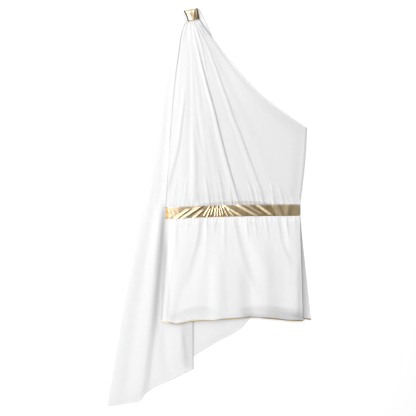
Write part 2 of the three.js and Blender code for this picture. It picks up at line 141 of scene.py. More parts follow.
# The cape
CAPE_TOP_LEFT = np.array((-80.0, 580.0))
CAPE_FOLD_TOP = np.array((-48.0, 583.0))
CAPE_RETURN_TOP = np.array((-56.0, 582.0))
CAPE_RIGHT_TOP = np.array((-36.0, 585.0))
CAPE_FOLD_X = -48.0
CAPE_HEM_END = np.array((159.0, -295.0))
CAPE_EDGE_BOW = 10.5
CAPE_SHADE = {"low": 0.18, "high": 0.1}
CAPE_LEVEL = 0.6
CAPE_STEP = 1.5
BED_OVER_FOLD = {"clear": 8, "ramp": 90, "height": 3.4}
BED_OVER_EDGE = {"clear": 5, "ramp": 60, "height": 1.5}


def rows_of(names, *rows):
    """A table as a list of dicts, one for each row."""
    columns = names.split()
    return [dict(zip(columns, row)) for row in rows]


# Bow of the bodice's columns to the strap side, and where along them it is deepest
FRONT_FAN = rows_of(
    "at bow skew",
    (0, 21, 0.55),
    (0.2, 9, 0.7),
    (0.44, 3, 0.9),
    (0.6, -7, 1),
    (0.82, 2, 1),
    (1, 30, 0.97),
)
BACK_FAN = rows_of("at bow skew", (0, 12, 0.8), (0.5, 0, 1), (1, 35, 1))

# Soft folds: share across at the top and the end, half-widths as shares, and heights at the top, half
# way down and at the foot
FOLD_COLUMNS = "start end left right top middle foot"
BODICE_FOLDS = rows_of(
    FOLD_COLUMNS,
    (0.06, 0.035, 0.05, 0.045, 1, 3, 1),
    (0.17, 0.1, 0.06, 0.05, 1, 4.5, 1.5),
    (0.25, 0.19, 0.045, 0.04, 1, 3.5, 1.5),
    (0.31, 0.27, 0.04, 0.04, 1, 3, 1.5),
    (0.4, 0.38, 0.07, 0.07, 1, 3, 2),
    (0.53, 0.52, 0.07, 0.07, 1, 2, 1.5),
    (0.72, 0.68, 0.07, 0.08, 1, 1.8, 1),
    (0.9, 0.86, 0.09, 0.08, 1, 1.2, 0.5),
)
SKIRT_FOLDS = rows_of(
    FOLD_COLUMNS,
    (0.06, 0.05, 0.05, 0.06, 0.5, 2, 2.5),
    (0.17, 0.15, 0.1, 0.1, 0.5, 3, 3),
    (0.42, 0.46, 0.08, 0.1, 0.5, 3.5, 4.5),
    (0.7, 0.72, 0.1, 0.09, 0.5, 4, 5),
    (0.9, 0.92, 0.07, 0.06, 0.5, 3, 3.5),
)
# Creases given one by one: the path of each one's steep side from its upper end, its height (below 0 for a
# trough), and at both ends the widths of its left and its right side and the shade that its steep side
# holds; then the shares over which it fades
CREASE_COLUMNS = "height left right dark fade path"
BODICE_CREASES = rows_of(
    CREASE_COLUMNS,
    (2.7, (4, 20), (4, 6), (0.1, 0.14), (0.3, 0),
     ((-49, 560), (-47, 549.8), (-38.3, 501.8), (-30.2, 469.7), (-20.6, 429.8), (-10, 389.9),
      (-2.6, 361.8), (16.4, 295.7), (36.8, 211.7), (54.5, 143.3), (69.8, 89.9), (89.9, 23.9),
      (98, 3))),
    (1.5, (4, 22), (4, 7), (0.05, 0.08), (0.3, 0),
     ((-34, 560), (-30.2, 545), (-20.6, 519.8), (-7.7, 493.7), (5.3, 464.9), (14.9, 437.9),
      (27.5, 405.8), (40.4, 366.8), (59.6, 316.1), (74.9, 270.2), (92.6, 227), (113, 171.2),
      (130.7, 122.9), (153.5, 62), (170, 5))),
    (0.8, (3, 8), (3, 5), (0.05, 0.05), (0.2, 0.6),
     ((-42, 560), (-38.3, 545), (-26.9, 506.6), (-18.8, 477.8), (-12.5, 445.7), (-2.3, 396.8),
      (8, 350))),
    (1.5, (8, 22), (5, 9), (0.08, 0.3), (0.3, 0.16),
     ((-67, 380), (-69, 356.6), (-74, 298), (-80.3, 252.8), (-87.8, 188.9), (-98, 143.3),
      (-108.2, 102.8), (-118.4, 62), (-124, 30))),
    (0.8, (3, 5), (3, 5), (0.16, 0.05), (0.1, 0.6),
     ((-66, 556), (-70, 530), (-76, 505), (-79, 477.8), (-84, 432.8), (-90, 380))),
    (0.8, (5, 14), (5, 16), (0.05, 0.06), (0.4, 0.4),
     ((-56, 500), (-56, 470), (-51, 430), (-49, 385), (-46, 330))),
    (1.9, (10, 22), (7, 17), (0.0, 0.1), (0.4, 0.05),
     ((-47, 270), (-44.6, 231.8), (-39.8, 171.8), (-37, 126.8), (-37, 60), (-36, 10))),
    (-0.8, (7, 8), (9, 10), (0.05, 0.05), (0.4, 0.5),
     ((-37, 290), (-33, 250), (-27, 205), (-20.3, 171.8), (-15, 130))),
    (1.5, (12, 16), (12, 24), (0.05, 0.08), (0.4, 0.1),
     ((-23, 310), (-15, 245), (-6, 201.8), (6.2, 138.8), (14.2, 87.8), (24.8, 21.8), (27, 8))),
    (1.2, (4, 7), (4, 6), (0.03, 0.07), (0.5, 0),
     ((24, 140), (29, 112.7), (36.8, 74.6), (45.8, 21.8), (48, 8))),
    (1.1, (4, 7), (4, 6), (0.03, 0.07), (0.5, 0), ((-14, 110), (-8.3, 87.8), (-2, 50), (3, 8))),
    (1.0, (4, 6), (4, 6), (0.03, 0.06), (0.5, 0), ((-62, 90), (-66, 55), (-70, 8))),
    (1.2, (4, 7), (4, 6), (0.03, 0.06), (0.5, 0), ((-90, 100), (-98, 55), (-105, 8))),
    (1.0, (4, 6), (4, 6), (0.03, 0.06), (0.5, 0), ((58, 85), (66, 50), (74, 8))),
    (1.2, (4, 6), (4, 7), (0.03, 0.06), (0.5, 0), ((108, 95), (123.8, 50), (134, 8))),
    (1.0, (4, 6), (4, 6), (0.03, 0.06), (0.5, 0), ((138, 70), (148, 36), (154, 8))),
    (1.1, (5, 7), (4, 6), (0.03, 0.07), (0.5, 0), ((186, 90), (194, 46), (200, 10))),
    (0.9, (4, 6), (4, 6), (0.03, 0.07), (0.5, 0), ((206, 80), (218, 44), (226, 10))),
)
SKIRT_CREASES = rows_of(
    CREASE_COLUMNS,
    (-1.9, (11, 20), (14, 44), (0.1, 0.04), (0.05, 0.6),
     ((-22, -28), (-24, -49.7), (-33, -108.2), (-46, -155.3), (-62.3, -209.3), (-76, -245.3),
      (-92, -300))),
    (1.0, (8, 22), (7, 18), (0.03, 0.02), (0, 0.5), ((-97, -28), (-96.8, -60), (-95.3, -98), (-94, -200))),
    (2.4, (26, 36), (24, 34), (0, 0), (0.5, 0),
     ((32, -110), (38, -170), (42, -230), (44, -290), (45, -345))),
    (0.9, (8, 16), (6, 12), (0.04, 0.02), (0, 0.6), ((52, -28), (50.3, -83.3), (51.8, -128.3), (54, -180))),
    (-2.2, (13, 26), (16, 52), (0.06, 0.05), (0.05, 0.35),
     ((79, -28), (84, -55), (99.8, -124), (115.7, -177.2), (137, -225), (150, -262), (158, -300))),
    (-1.2, (26, 34), (30, 40), (0.14, 0.2), (0.4, 0),
     ((92, -150), (102, -218), (105, -278), (106, -345))),
    (1.0, (6, 8), (5, 7), (0.08, 0.05), (0, 0.7), ((116.6, -28), (117.8, -74.3), (121, -120))),
    (-1.5, (8, 16), (12, 34), (0.05, 0.04), (0, 0.35),
     ((209, -28), (213.8, -55), (221.9, -108.2), (243.2, -161.3), (256, -200))),
    (-1.2, (28, 34), (26, 30), (0.12, 0.12), (0.3, 0.1),
     ((212, -100), (214, -200), (217, -270), (219, -335))),
    (1.2, (16, 22), (8, 12), (0.02, 0.02), (0.4, 0.1), ((266, -120), (271, -200), (274, -330))),
    (0.9, (5, 8), (4, 7), (0.1, 0.05), (0, 0.8), ((-2.5, -28), (-4, -70), (-5, -120))),
    (0.8, (5, 7), (4, 6), (0.08, 0.05), (0, 0.8), ((16, -28), (17, -64), (19, -92))),
    (0.9, (5, 8), (4, 7), (0.1, 0.05), (0, 0.8), ((139, -28), (143, -62), (149, -110))),
    (0.9, (6, 8), (5, 7), (0.08, 0.05), (0, 0.8), ((171, -28), (177, -66), (186, -122))),
    (0.8, (5, 7), (4, 6), (0.08, 0.05), (0, 0.8), ((-60, -28), (-62, -60), (-66, -100))),
    (0.9, (6, 8), (5, 7), (0.08, 0.05), (0, 0.7), ((232, -28), (238, -70), (244, -120))),
)
CAPE_CREASES = rows_of(
    CREASE_COLUMNS,
    (3.4, (20, 64), (16, 22), (0.62, 0), (0.12, 0),
     ((-130, 30), (-139, -62), (-145, -119), (-157, -248), (-170, -392), (-180, -473), (-187, -536),
      (-193, -575), (-197, -610))),
    (0.0, (12, 16), (12, 16), (0.45, 0.3), (0.25, 0.3),
     ((-122, 0), (-130, -62), (-136, -119), (-144, -200), (-150, -260), (-158, -340), (-170, -430))),
    (1.4, (26, 50), (20, 36), (0, 0.03), (0.4, 0),
     ((-185, 60), (-205, -100), (-230, -300), (-252, -480), (-262, -610))),
    (1.6, (20, 40), (16, 30), (0, 0.03), (0.5, 0), ((-140, -300), (-140, -420), (-128, -500), (-120, -560))),
    (1.8, (14, 24), (8, 16), (0.05, 0.03), (0.4, 0), ((-78, -330), (-74, -400), (-66, -460), (-60, -520))),
    (1.3, (14, 26), (10, 22), (0.03, 0), (0.5, 0.3), ((-112, 480), (-128, 300), (-146, 100), (-170, -100))),
    (1.2, (16, 30), (12, 26), (0.03, 0), (0.4, 0.3), ((-140, 260), (-168, 60), (-198, -160), (-222, -340))),
)
BACK_CREASES = rows_of(
    CREASE_COLUMNS,
    (0.8, (5, 14), (4, 9), (0, 0), (0.2, 0), ((-46, 560), (-14, 420), (34, 200), (72, 30))),
    (0.7, (6, 18), (5, 12), (0, 0), (0.3, 0), ((-30, 540), (30, 390), (96, 190), (150, 24))),
    (0.7, (5, 12), (5, 16), (0, 0), (0.3, 0.2), ((-62, 520), (-70, 340), (-92, 170), (-104, 30))),
    (0.6, (5, 12), (5, 12), (0, 0), (0.4, 0.1), ((-40, 300), (-30, 170), (-20, 30))),
    (0.7, (6, 16), (5, 14), (0, 0), (0, 0.4), ((-60, -20), (-70, -120), (-84, -240))),
    (0.8, (8, 20), (6, 18), (0, 0), (0, 0.3), ((22, -10), (30, -130), (44, -300))),
    (0.7, (6, 16), (6, 20), (0, 0), (0, 0.4), ((128, -14), (146, -130), (170, -260))),
    (0.6, (6, 12), (5, 12), (0, 0), (0, 0.5), ((206, -18), (222, -120), (240, -220))),
)

# The necklines, from the shoulder band to the underarm
FRONT_NECK = (
    (-32.5, 562), (-27, 559.5), (-2.5, 525.8), (11, 507.8), (24.5, 490.4), (44.6, 465.2), (63, 441.8),
    (94.4, 404.6), (123.2, 372.8), (151.7, 344.3), (174.8, 324.2), (212, 295.4), (240.8, 275.3),
    (294, 237),
)
BACK_NECK = (
    (-31.5, 589), (-22.4, 575), (-13, 557.6), (-2.3, 540), (3, 526), (14, 500), (34, 470), (84, 408),
    (162, 328), (228, 278), (294, 237),
)

# Hems, from the strap side, at the finished edge
FRONT_HEM = (
    (-144, -340.5), (-123, -345), (-98, -349.5), (-57, -341.5), (12, -338),
    (102, -332), (135, -330.5), (190, -334.5), (237, -340), (282, -341),
)
BACK_HEM = (
    (-138, -338), (-57, -327), (48, -312), (153, -313.5), (228, -321), (282, -334.5), (306, -337.5),
)
LINING_HEM = (
    (-114, -322.5), (-57, -301), (-21, -295.5), (9, -301), (27, -316), (57, -322),
    (84, -318), (102, -303), (150, -292.5), (216, -300), (270, -309),
)
HEM_TRIM_WIDTH = 3.3
SEAM_GAP = 0.3
ABOVE_TRIM = np.array((0, HEM_TRIM_WIDTH + SEAM_GAP))
STRAP_PUFF = 6.0  # how far the cloth swells past the shoulder band's left side, below it
STRAP_WAVES = 7
LINING_INSET = 2.0

# Gathers that a user wouldn't change, and how much of the soft folds' heights shows
BACK_BODICE_GATHERS = 26
BACK_SKIRT_GATHERS = 30
LINING_GATHERS = 22
BACK_BAND_RIPPLES = 38
SOFT_BODICE_FOLDS = 0.25
SOFT_SKIRT_FOLDS = 0.5

# How the skirt's columns, evenly spread at the waistband, lie along the hem
SKIRT_SPREAD = rows_of("at hem", (0, 0), (0.26, 0.11), (0.56, 0.57), (0.8, 0.83), (1, 1))

# The waistband's ruches: crest at the upper and the lower edge in mm from its left end, half-widths,
# height, and where between the edges each one shows
RUCHES = rows_of(
    "top foot left right height begin stop",
    (86, 38, 14, 6, 2.8, 0.3, 1),
    (112, 58, 17, 7, 3.4, 0.05, 1),
    (130, 90, 9, 5, 2.6, 0.45, 1),
    (136, 114, 4, 3, 1.6, 0.05, 0.8),
    (140, 126, 3, 3, 1.7, 0.3, 1),
    (146, 137, 3, 2.6, 2.0, 0, 0.75),
    (152, 149, 2.6, 3, 1.5, 0.25, 1),
    (157, 158, 3, 2.6, 2.1, 0, 1),
    (161, 167, 2.6, 2.6, 1.5, 0.3, 1),
    (166, 176, 3, 3.4, 2.0, 0, 0.8),
    (171, 189, 3, 4, 1.7, 0.2, 1),
    (178, 206, 4, 6, 1.5, 0.4, 1),
    (180, 234, 14, 6, 2.1, 0, 1),
    (222, 281, 16, 7, 2.3, 0, 1),
    (246, 300, 8, 10, 0.8, 0, 0.8),
    (280, 328, 14, 6, 1.8, 0.1, 0.9),
    (330, 352, 16, 14, 0.8, 0, 1),
    (372, 366, 14, 12, 0.7, 0, 1),
)

# Stations of the cape's upper layer at the hem: height is its fold's at its highest row
CAPE_HEM = rows_of(
    "x y height",
    (-306, -598.5, 0),
    (-276, -594.5, 2.5),
    (-240, -588.5, 9.5),
    (-208, -581, 10),
    (-193, -563, 2.5),
    (-176, -549, 0),
    (-145, -532, 2),
    (-110, -515.5, 3),
    (-75, -498, 0.5),
    (-48, -484.5, 0),
)
CAPE_UNDER_HEM = rows_of(
    "x y height",
    (-87, -466, 0),
    (-48, -448.5, 0),
    (15, -409.5, 2),
    (66, -383, 0.5),
    (102, -359, 1.5),
    (126, -329, 0),
    (159, -295, 0),
)
DRESS_EDGE = rows_of(
    "at x", (-352, -146), (-100, -136), (0, -131), (230, -122), (400, -103), (500, -84), (585, -78)
)
# Stitches: the gap between two as a share of one, half their thickness in metres, and how far they lie
# above their sheets' middles in millimetres
STITCH_GAP = 0.35
STITCH_THICKNESS = 0.00022
ON_CAPE = 0.3
ON_DRESS = 0.35
ON_BAND = 0.6

# Cloths: threads per metre, opacity of the chiffon once and where the doubled attribute is 1, and colours
CHIFFON_THREADS = 1500.0
LINING_THREADS = 1900.0
LAME_THREADS = 1100.0
CHIFFON_OPACITY = 0.55
DOUBLED_OPACITY = 0.75
THREAD_WHITE = (0.85, 0.85, 0.86)
# Near-black painted shade and dark reflection, where the lame's shade attribute reaches 2
PAINTED_SHADE_BLACK = (0.02, 0.015, 0.01)

# The stage, in metres and watts: a window to the left, and a wider room that is brighter on its side
LAMPS = (
    ("window_key", (-1.3, 0.15, 2.0), 1.4, 35.4),
    ("top_fill", (-0.4, 1.6, 1.9), 1.0, 12),
    ("low_glint", (-0.8, -1.0, 2.0), 0.8, 4.5),
)
WINDOW_SIDE = (-0.9, 0.35, 0.0)
FLOOR_CORNERS = ((-1, -1), (1, -1), (1, 1), (-1, 1))
FLOOR_HALF = 6
FLOOR_LEVEL = -0.0003
FLOOR_GLOW = 0.1
LENS_MM = 85
SENSOR_MM = 36
VIEW_WIDTH = 1.248
VIEW_CENTRE = (-0.00225, -0.00225)

def ease(value, low, high):
    """0 below low, 1 above high and smooth between, on arrays too."""
    t = np.clip((value - low) / (high - low), 0, 1)
    return t * t * (3 - 2 * t)


def mix(a, b, share):
    return a + (b - a) * share


def read(table, share, column):
    """A table's column at a share, easing between the rows on either side of it."""
    at = np.array([row["at"] for row in table], float)
    values = np.array([row[column] for row in table], float)
    share = np.asarray(share, float)
    i = np.clip(np.searchsorted(at, share, side="right") - 1, 0, len(at) - 2)
    return mix(values[i], values[i + 1], ease(share, at[i], at[i + 1]))


def bump(away):
    """A soft bump, 1 at its crest and 0 from its half-width outwards."""
    left = 1 - np.minimum(1, away * away)
    return left * left


def uneven(number, low):
    """The same uneven factor for the same gather on every run, from low to 1."""
    return mix(low, 1, 0.5 + 0.5 * np.sin(number * 2.4 + 0.7))


def smooth_line(points, count):
    """Evenly spaced points on a smooth curve through the given ones."""
    points = np.asarray(points, float)
    padded = np.vstack([2 * points[0] - points[1], points, 2 * points[-1] - points[-2]])
    fine = []
    for i in range(1, len(padded) - 2):
        a, b, c, d = padded[i - 1 : i + 3]
        t = np.linspace(0, 1, CURVE_STEPS, endpoint=False)[:, None]
        fine.append(
            0.5 * (2 * b + (c - a) * t + (2 * a - 5 * b + 4 * c - d) * t**2
                   + (3 * b - a - 3 * c + d) * t**3)
        )
    fine = np.vstack([*fine, points[-1:]])
    length = np.r_[0, np.cumsum(np.linalg.norm(np.diff(fine[:, :2], axis=0), axis=1))]
    wanted = np.linspace(0, length[-1], count)
    return np.stack([np.interp(wanted, length, fine[:, k]) for k in range(fine.shape[1])], 1)


def on_line(line, share):
    """The points of an evenly spaced line at some shares of its length."""
    at = np.linspace(0, 1, len(line))
    return np.stack([np.interp(share, at, line[:, k]) for k in range(line.shape[1])], -1)


def bowed(start, end, share, bow, skew):
    """Points on the way from start to end, bowed sideways."""
    chord = end - start
    side = np.stack([chord[..., 1], -chord[..., 0]], -1)
    side = side / np.linalg.norm(side, axis=-1, keepdims=True)
    sag = bow * np.sin(math.pi * share**skew)
    return start + chord * share[..., None] + side * sag[..., None]


def front_waist_y(x):
    share = np.clip((x - WAIST_LEFT[0]) / (WAIST_RIGHT[0] - WAIST_LEFT[0]), 0, 1)
    return mix(WAIST_LEFT[1], WAIST_RIGHT[1], share) + WAIST_ARCH * np.sin(math.pi * share)


def back_waist_y(x):
    share = np.clip((x - WAIST_LEFT[0]) / (WAIST_RIGHT[0] - WAIST_LEFT[0]), 0, 1)
    arch = ease(share, 0.08, 0.5) * (1 - ease(share, 0.58, 0.95))
    return front_waist_y(x) + BACK_WAIST_ARCH * arch


def bed_height(x, y):
    """The height of what the dress lies on: the folded cape, one layer of it, then the floor."""
    down = (CAPE_RIGHT_TOP[1] - y) / (CAPE_RIGHT_TOP[1] - CAPE_HEM_END[1])
    right_edge = mix(CAPE_RIGHT_TOP[0], CAPE_HEM_END[0], np.clip(down, 0, 1))

    def ramp(bed, edge):
        return bed["height"] * (1 - ease(x, edge + bed["clear"], edge + bed["clear"] + bed["ramp"]))

    return ramp(BED_OVER_EDGE, right_edge) + ramp(BED_OVER_FOLD, CAPE_FOLD_X)


def fold_height(folds, across, down):
    """Height of a table of folds over a grid of shares."""
    height = np.zeros_like(across)
    for fold in folds:
        crest = mix(fold["start"], fold["end"], down)
        width = np.where(across < crest, fold["left"], fold["right"])
        upper = mix(fold["top"], fold["middle"], np.minimum(1, down * 2))
        tall = mix(upper, fold["foot"], np.maximum(0, down * 2 - 1))
        height = height + tall * bump((across - crest) / width)
    return height


def beside(path, x, y):
    """Share along a path of each grid point's nearest place on it, and its distance right of it."""
    line = smooth_line(path, PATH_POINTS)
    tangent = np.gradient(line, axis=0)
    tangent = tangent / np.linalg.norm(tangent, axis=1, keepdims=True)
    points = np.stack([x.ravel(), y.ravel()], -1)
    gap = points[:, None] - line[None]
    near = np.argmin((gap**2).sum(-1), axis=1)
    gap = gap[np.arange(len(points)), near]
    t = tangent[near]
    along = (gap * t).sum(-1)
    away = gap[:, 1] * t[:, 0] - gap[:, 0] * t[:, 1]
    step = np.linalg.norm(line[1] - line[0])
    share = np.clip((near + np.clip(along / step, -0.5, 0.5)) / (len(line) - 1), 0, 1)
    beyond = np.maximum(np.abs(along) - step, 0)
    side = np.where(away > 0, 1.0, -1.0)
    return share.reshape(x.shape), (side * np.hypot(away, beyond)).reshape(x.shape)


def crease_relief(creases, x, y):
    """Height of the listed creases, each with its steeper side on its path, and the shade that
    their steep sides hold."""
    height, shade = np.zeros_like(x), np.zeros_like(x)
    for crease in creases:
        share, away = beside(crease["path"], x, y)
        left = mix(*crease["left"], share)
        right = mix(*crease["right"], share)
        steep = np.minimum(left, right)
        from_crest = away + 0.5 * np.where(right <= left, steep, -steep)
        width = np.where(from_crest < 0, left, right)
        start, end = crease["fade"]
        fade = (ease(share, 0, start) if start else 1.0) * (1 - ease(share, 1 - end, 1) if end else 1.0)
        height = height + crease["height"] * fade * bump(from_crest / width)
        shade = shade + mix(*crease["dark"], share) * fade * bump(away / steep)
    return height, shade


def above_bed(height, softness=0.5):
    """Keeps a height from going below 0, rounding the turn."""
    return 0.5 * (height + np.sqrt(height * height + softness**2)) - 0.5 * softness


def gathers(share, count, height, reach, down_from_seam):
    """Short gathers beside a seam, each of its own height and length."""
    wave = share * count + 0.22 * np.sin(share * count * 1.7) + 0.15 * np.sin(share * count * 0.61 + 1)
    number = np.floor(wave)
    fade = 1 - ease(down_from_seam, 0, reach * uneven(number * 1.7 + 2, 0.4))
    return height * uneven(number, 0.4) * (0.5 - 0.5 * np.cos(TAU * wave)) * fade


def bodice_end(share, waist_y):
    """Where a bodice column ends: on the waist seam up to WAIST_SHARE, then up the side seam."""
    along = np.clip(share / WAIST_SHARE, 0, 1)
    x = mix(WAIST_LEFT[0], WAIST_RIGHT[0], along)
    on_waist = np.stack([x, waist_y(x) + SEAM_GAP], -1)
    corner = np.array((WAIST_RIGHT[0], waist_y(WAIST_RIGHT[0]) + SEAM_GAP))
    up_side = np.clip((share - WAIST_SHARE) / (1 - WAIST_SHARE), 0, 1)
    on_side = bowed(
        np.broadcast_to(corner, on_waist.shape), np.broadcast_to(UNDERARM, on_waist.shape),
        up_side, SIDE_BOW, 1,
    )
    return np.where((share <= WAIST_SHARE)[..., None], on_waist, on_side)


def spaced_shares(count, *dense):
    """Shares from 0 to 1, with more of them in each (low, high, count) stretch."""
    parts = [np.linspace(0, 1, count), *(np.linspace(low, high, n) for low, high, n in dense)]
    shares = np.unique(np.round(np.concatenate(parts), 5))
    keep = np.r_[True, np.diff(shares) > 0.0004]
    return shares[keep]


def bodice_front_edges(x, y, across, down):
    """Shade beside the bodice front's left edge, neckline and side seam, and low on its right."""
    left_edge = (1 - ease(x - x[:, :1], 2, 5)) * mix(1, 0.6, ease(down, 0.15, 0.4))
    left_edge = left_edge * (1 - 0.6 * bump((down - 0.75) / 0.15))
    neck = 0.13 * ease(across, 0.93, 1) * (1 - ease(down, 0.97, 1))
    side = 0.5 * ease(across, WAIST_SHARE, WAIST_SHARE + 0.02) * ease(down, 0.984, 0.994)
    lower_right = 0.09 * ease(x, -60, 60) * (1 - ease(y, 250, 420))
    return left_edge + neck + side + lower_right


def make_bodice_front_grid(sizes):
    """The bodice front's middle surface in mm, its shares across and down, its shade, and where the back
    waistband shows through it. Its first two rows lie inside the shoulder band."""
    columns = spaced_shares(191, (0.38, 0.47, 50), (0.53, 0.6, 34))
    rows = spaced_shares(130, (0, 0.06, 9), (0.86, 1, 26))
    down, across = np.meshgrid(rows, columns, indexing="ij")
    start = mix(STRAP_MOUTH[0], STRAP_MOUTH[1], across[..., None])
    end = bodice_end(across, front_waist_y)
    p = bowed(start, end, down, read(FRONT_FAN, across, "bow"), read(FRONT_FAN, across, "skew"))
    neck = on_line(smooth_line(FRONT_NECK, EDGE_POINTS), rows)
    p = p + ease(across, 0.7, 1)[..., None] * (neck[:, None] - p[:, -1:])
    puff = ease(down, 0, 0.012) * (1 - ease(down, 0.02, 0.2)) * (1 - ease(across, 0, 0.3))
    x, y = p[..., 0] - STRAP_PUFF * puff, p[..., 1]

    strap_side = ease(across, 0, 0.11)
    open_side = mix(1, ease(1 - down, 0, 0.12), ease(across, WAIST_SHARE - 0.02, WAIST_SHARE))
    neck_side = 1 - 0.9 * ease(across, 0.93, 1)
    inner = strap_side * open_side * neck_side
    rest = bed_height(x, y) + mix(BODICE_SEAM_LEVEL, BODICE_LEVEL, inner)
    soft = SOFT_BODICE_FOLDS * fold_height(BODICE_FOLDS, across, down) * ease(down, 0.05, 0.3)
    laid, shade = crease_relief(BODICE_CREASES, x, y)
    along_waist = np.clip(across / WAIST_SHARE, 0, 1)
    waist = gathers(along_waist, sizes.bodice_gathers, 1.5, 0.12, 1 - down)
    waist = waist * (across <= WAIST_SHARE) * (1 - ease(across, 0.76, WAIST_SHARE))
    swell = 1.2 + 3.0 * bump((across - 0.5) / 0.5)
    folds = sizes.fold_depth * (soft + laid + waist)
    relief = inner * above_bed(folds + swell * ease(1 - down, 0, 0.08)) * ease(down, 0, 0.05)
    wave = 0.5 - 0.5 * np.cos(TAU * columns * STRAP_WAVES)
    band_waves = 1.2 * uneven(np.floor(columns * STRAP_WAVES), 0.45) * wave
    reach = mix(0.05, 0.16, bump((across - 0.5) / 0.55))
    z = mix(STRAP_LEVEL, rest, ease(down, 0, reach)) + relief
    z = z + band_waves * (1 - ease(down, 0.02, 0.16))

    inside = np.empty((2, len(columns), 3))
    for row, share in enumerate((0.0, 0.6)):
        edge = mix(STRAP_INSIDE, STRAP_MOUTH, share)
        inside[row, :, :2] = mix(edge[0], edge[1], columns[:, None])
        inside[row, :, 2] = STRAP_LEVEL + band_waves
    grid = np.concatenate([inside, np.stack([x, y, z], -1)])
    shade = shade + bodice_front_edges(x, y, across, down)
    over_back_band = ease(back_waist_y(x) - y, -3, 3) * ease(back_waist_y(x) - front_waist_y(x), 2, 8)
    across, shade, over_back_band = (np.vstack([a[:2], a]) for a in (across, shade, over_back_band))
    return grid, across, np.vstack([np.zeros_like(down[:2]), down]), shade, over_back_band


def make_bodice_back_grid():
    columns = spaced_shares(121)
    rows = spaced_shares(70)
    down, across = np.meshgrid(rows, columns, indexing="ij")
    start = mix(BACK_STRAP[0], BACK_STRAP[1], across[..., None])
    end = bodice_end(across, back_waist_y)
    p = bowed(start, end, down, read(BACK_FAN, across, "bow"), read(BACK_FAN, across, "skew"))
    neck = on_line(smooth_line(BACK_NECK, EDGE_POINTS), rows)
    p = p + ease(across, 0.5, 1)[..., None] * (neck[:, None] - p[:, -1:])
    x, y = p[..., 0], p[..., 1]
    ripple = gathers(np.clip(across / WAIST_SHARE, 0, 1), BACK_BODICE_GATHERS, 0.7, 0.5, 1 - down)
    laid, _ = crease_relief(BACK_CREASES, x, y)
    z = bed_height(x, y) + BACK_LEVEL + np.maximum(ripple, laid) * ease(across, 0, 0.04)
    z = z + 3.5 * ease(across, 0.7, 1) * (1 - ease(down, 0.04, 0.16))
    return np.stack([x, y, z], -1), across, down


def skirt_grid(columns, rows, waist_y, hem, height_at, inset=0, lift=ABOVE_TRIM, spread=None):
    """A skirt panel's middle surface, from the waistband's lower edge to its hem, and its shares. The
    spread is a table of where its columns lie along the hem."""
    down, across = np.meshgrid(rows, columns, indexing="ij")
    x = mix(WAIST_LEFT[0] + inset, WAIST_RIGHT[0] - inset, across)
    start = np.stack([x, waist_y(x) - WAISTBAND_HEIGHT - SEAM_GAP], -1)
    along = across
    if spread:
        along = np.interp(across, [row["at"] for row in spread], [row["hem"] for row in spread])
    p = mix(start, on_line(smooth_line(hem, EDGE_POINTS), along) + lift, down[..., None])
    z = bed_height(p[..., 0], p[..., 1]) + height_at(across, down, p[..., 0], p[..., 1])
    return np.stack([p[..., 0], p[..., 1], z], -1), across, down


def make_skirt_front_grid(sizes):
    def height_at(across, down, x, y):
        soft = SOFT_SKIRT_FOLDS * fold_height(SKIRT_FOLDS, across, down) * ease(down, 0, 0.25)
        laid, _ = crease_relief(SKIRT_CREASES, x, y)
        top = gathers(across, sizes.skirt_gathers, 1.3, 0.16, down)
        sides = ease(across, 0, 0.1) * (1 - 0.6 * ease(across, 0.95, 1))
        relief = above_bed(sizes.fold_depth * (soft + laid + top) + 3.0 * ease(down, 0, 0.06))
        return SKIRT_LEVEL + sides * relief * ease(down, 0, 0.03)

    rows = spaced_shares(90, (0, 0.12, 22))
    return skirt_grid(
        spaced_shares(221), rows, front_waist_y, FRONT_HEM, height_at, spread=SKIRT_SPREAD
    )


def make_skirt_back_grid():
    def height_at(across, down, x, y):
        laid, _ = crease_relief(BACK_CREASES, x, y)
        return BACK_LEVEL + np.maximum(gathers(across, BACK_SKIRT_GATHERS, 0.7, 0.5, down), laid)

    return skirt_grid(spaced_shares(121), spaced_shares(60), back_waist_y, BACK_HEM, height_at)


def make_lining_grid():
    def height_at(across, down, x, y):
        return LINING_LEVEL + gathers(across, LINING_GATHERS, 0.5, 0.25, down)

    return skirt_grid(
        spaced_shares(121), spaced_shares(60), front_waist_y, LINING_HEM, height_at, LINING_INSET, 0
    )


def make_waistband_front_grid():
    """The ruched front of the waistband, whose long edges roll down and whose ruches slant out: its
    middle surface, its shares across, and the height of its ruches."""
    columns = np.linspace(0, 1, 421)
    rows = np.linspace(0, 1, 25)
    down, across = np.meshgrid(rows, columns, indexing="ij")
    length = WAIST_RIGHT[0] - WAIST_LEFT[0]
    x = mix(WAIST_LEFT[0], WAIST_RIGHT[0], across)
    height = np.zeros_like(x)
    for ruche in RUCHES:
        crest = mix(ruche["top"], ruche["foot"], down)
        away = across * length - crest
        width = np.where(away < 0, ruche["left"], ruche["right"])
        fade = ease(down, ruche["begin"] - 0.12, ruche["begin"] + 0.05)
        fade = fade * (1 - ease(down, ruche["stop"] - 0.05, ruche["stop"] + 0.12))
        height = np.maximum(height, ruche["height"] * fade * bump(away / width) ** 0.7)
    roll = 0.9 * (1 - (2 * down - 1) ** 6)
    ends = ease(across, 0, 0.012) * (1 - ease(across, 0.988, 1))
    left_end = 0.9 * ease(across, -0.04, 0.1) * (1 - ease(across, 0.1, 0.2))
    y = front_waist_y(x) - WAISTBAND_HEIGHT * down
    z = bed_height(x, y) + WAISTBAND_LEVEL + (height + roll + left_end) * ends
    return np.stack([x, y, z], -1), across, height


def make_waistband_back_grid():
    down, across = np.meshgrid(np.linspace(0, 1, 13), np.linspace(0, 1, 201), indexing="ij")
    x = mix(WAIST_LEFT[0], WAIST_RIGHT[0], across)
    y = back_waist_y(x) - WAISTBAND_HEIGHT * down
    wave = across * BACK_BAND_RIPPLES + 0.3 * np.sin(across * 60)
    ripple = 0.35 * (0.5 - 0.5 * np.cos(TAU * wave))
    z = bed_height(x, y) + BACK_BAND_LEVEL + ripple * np.sin(math.pi * down)
    return np.stack([x, y, z], -1), across


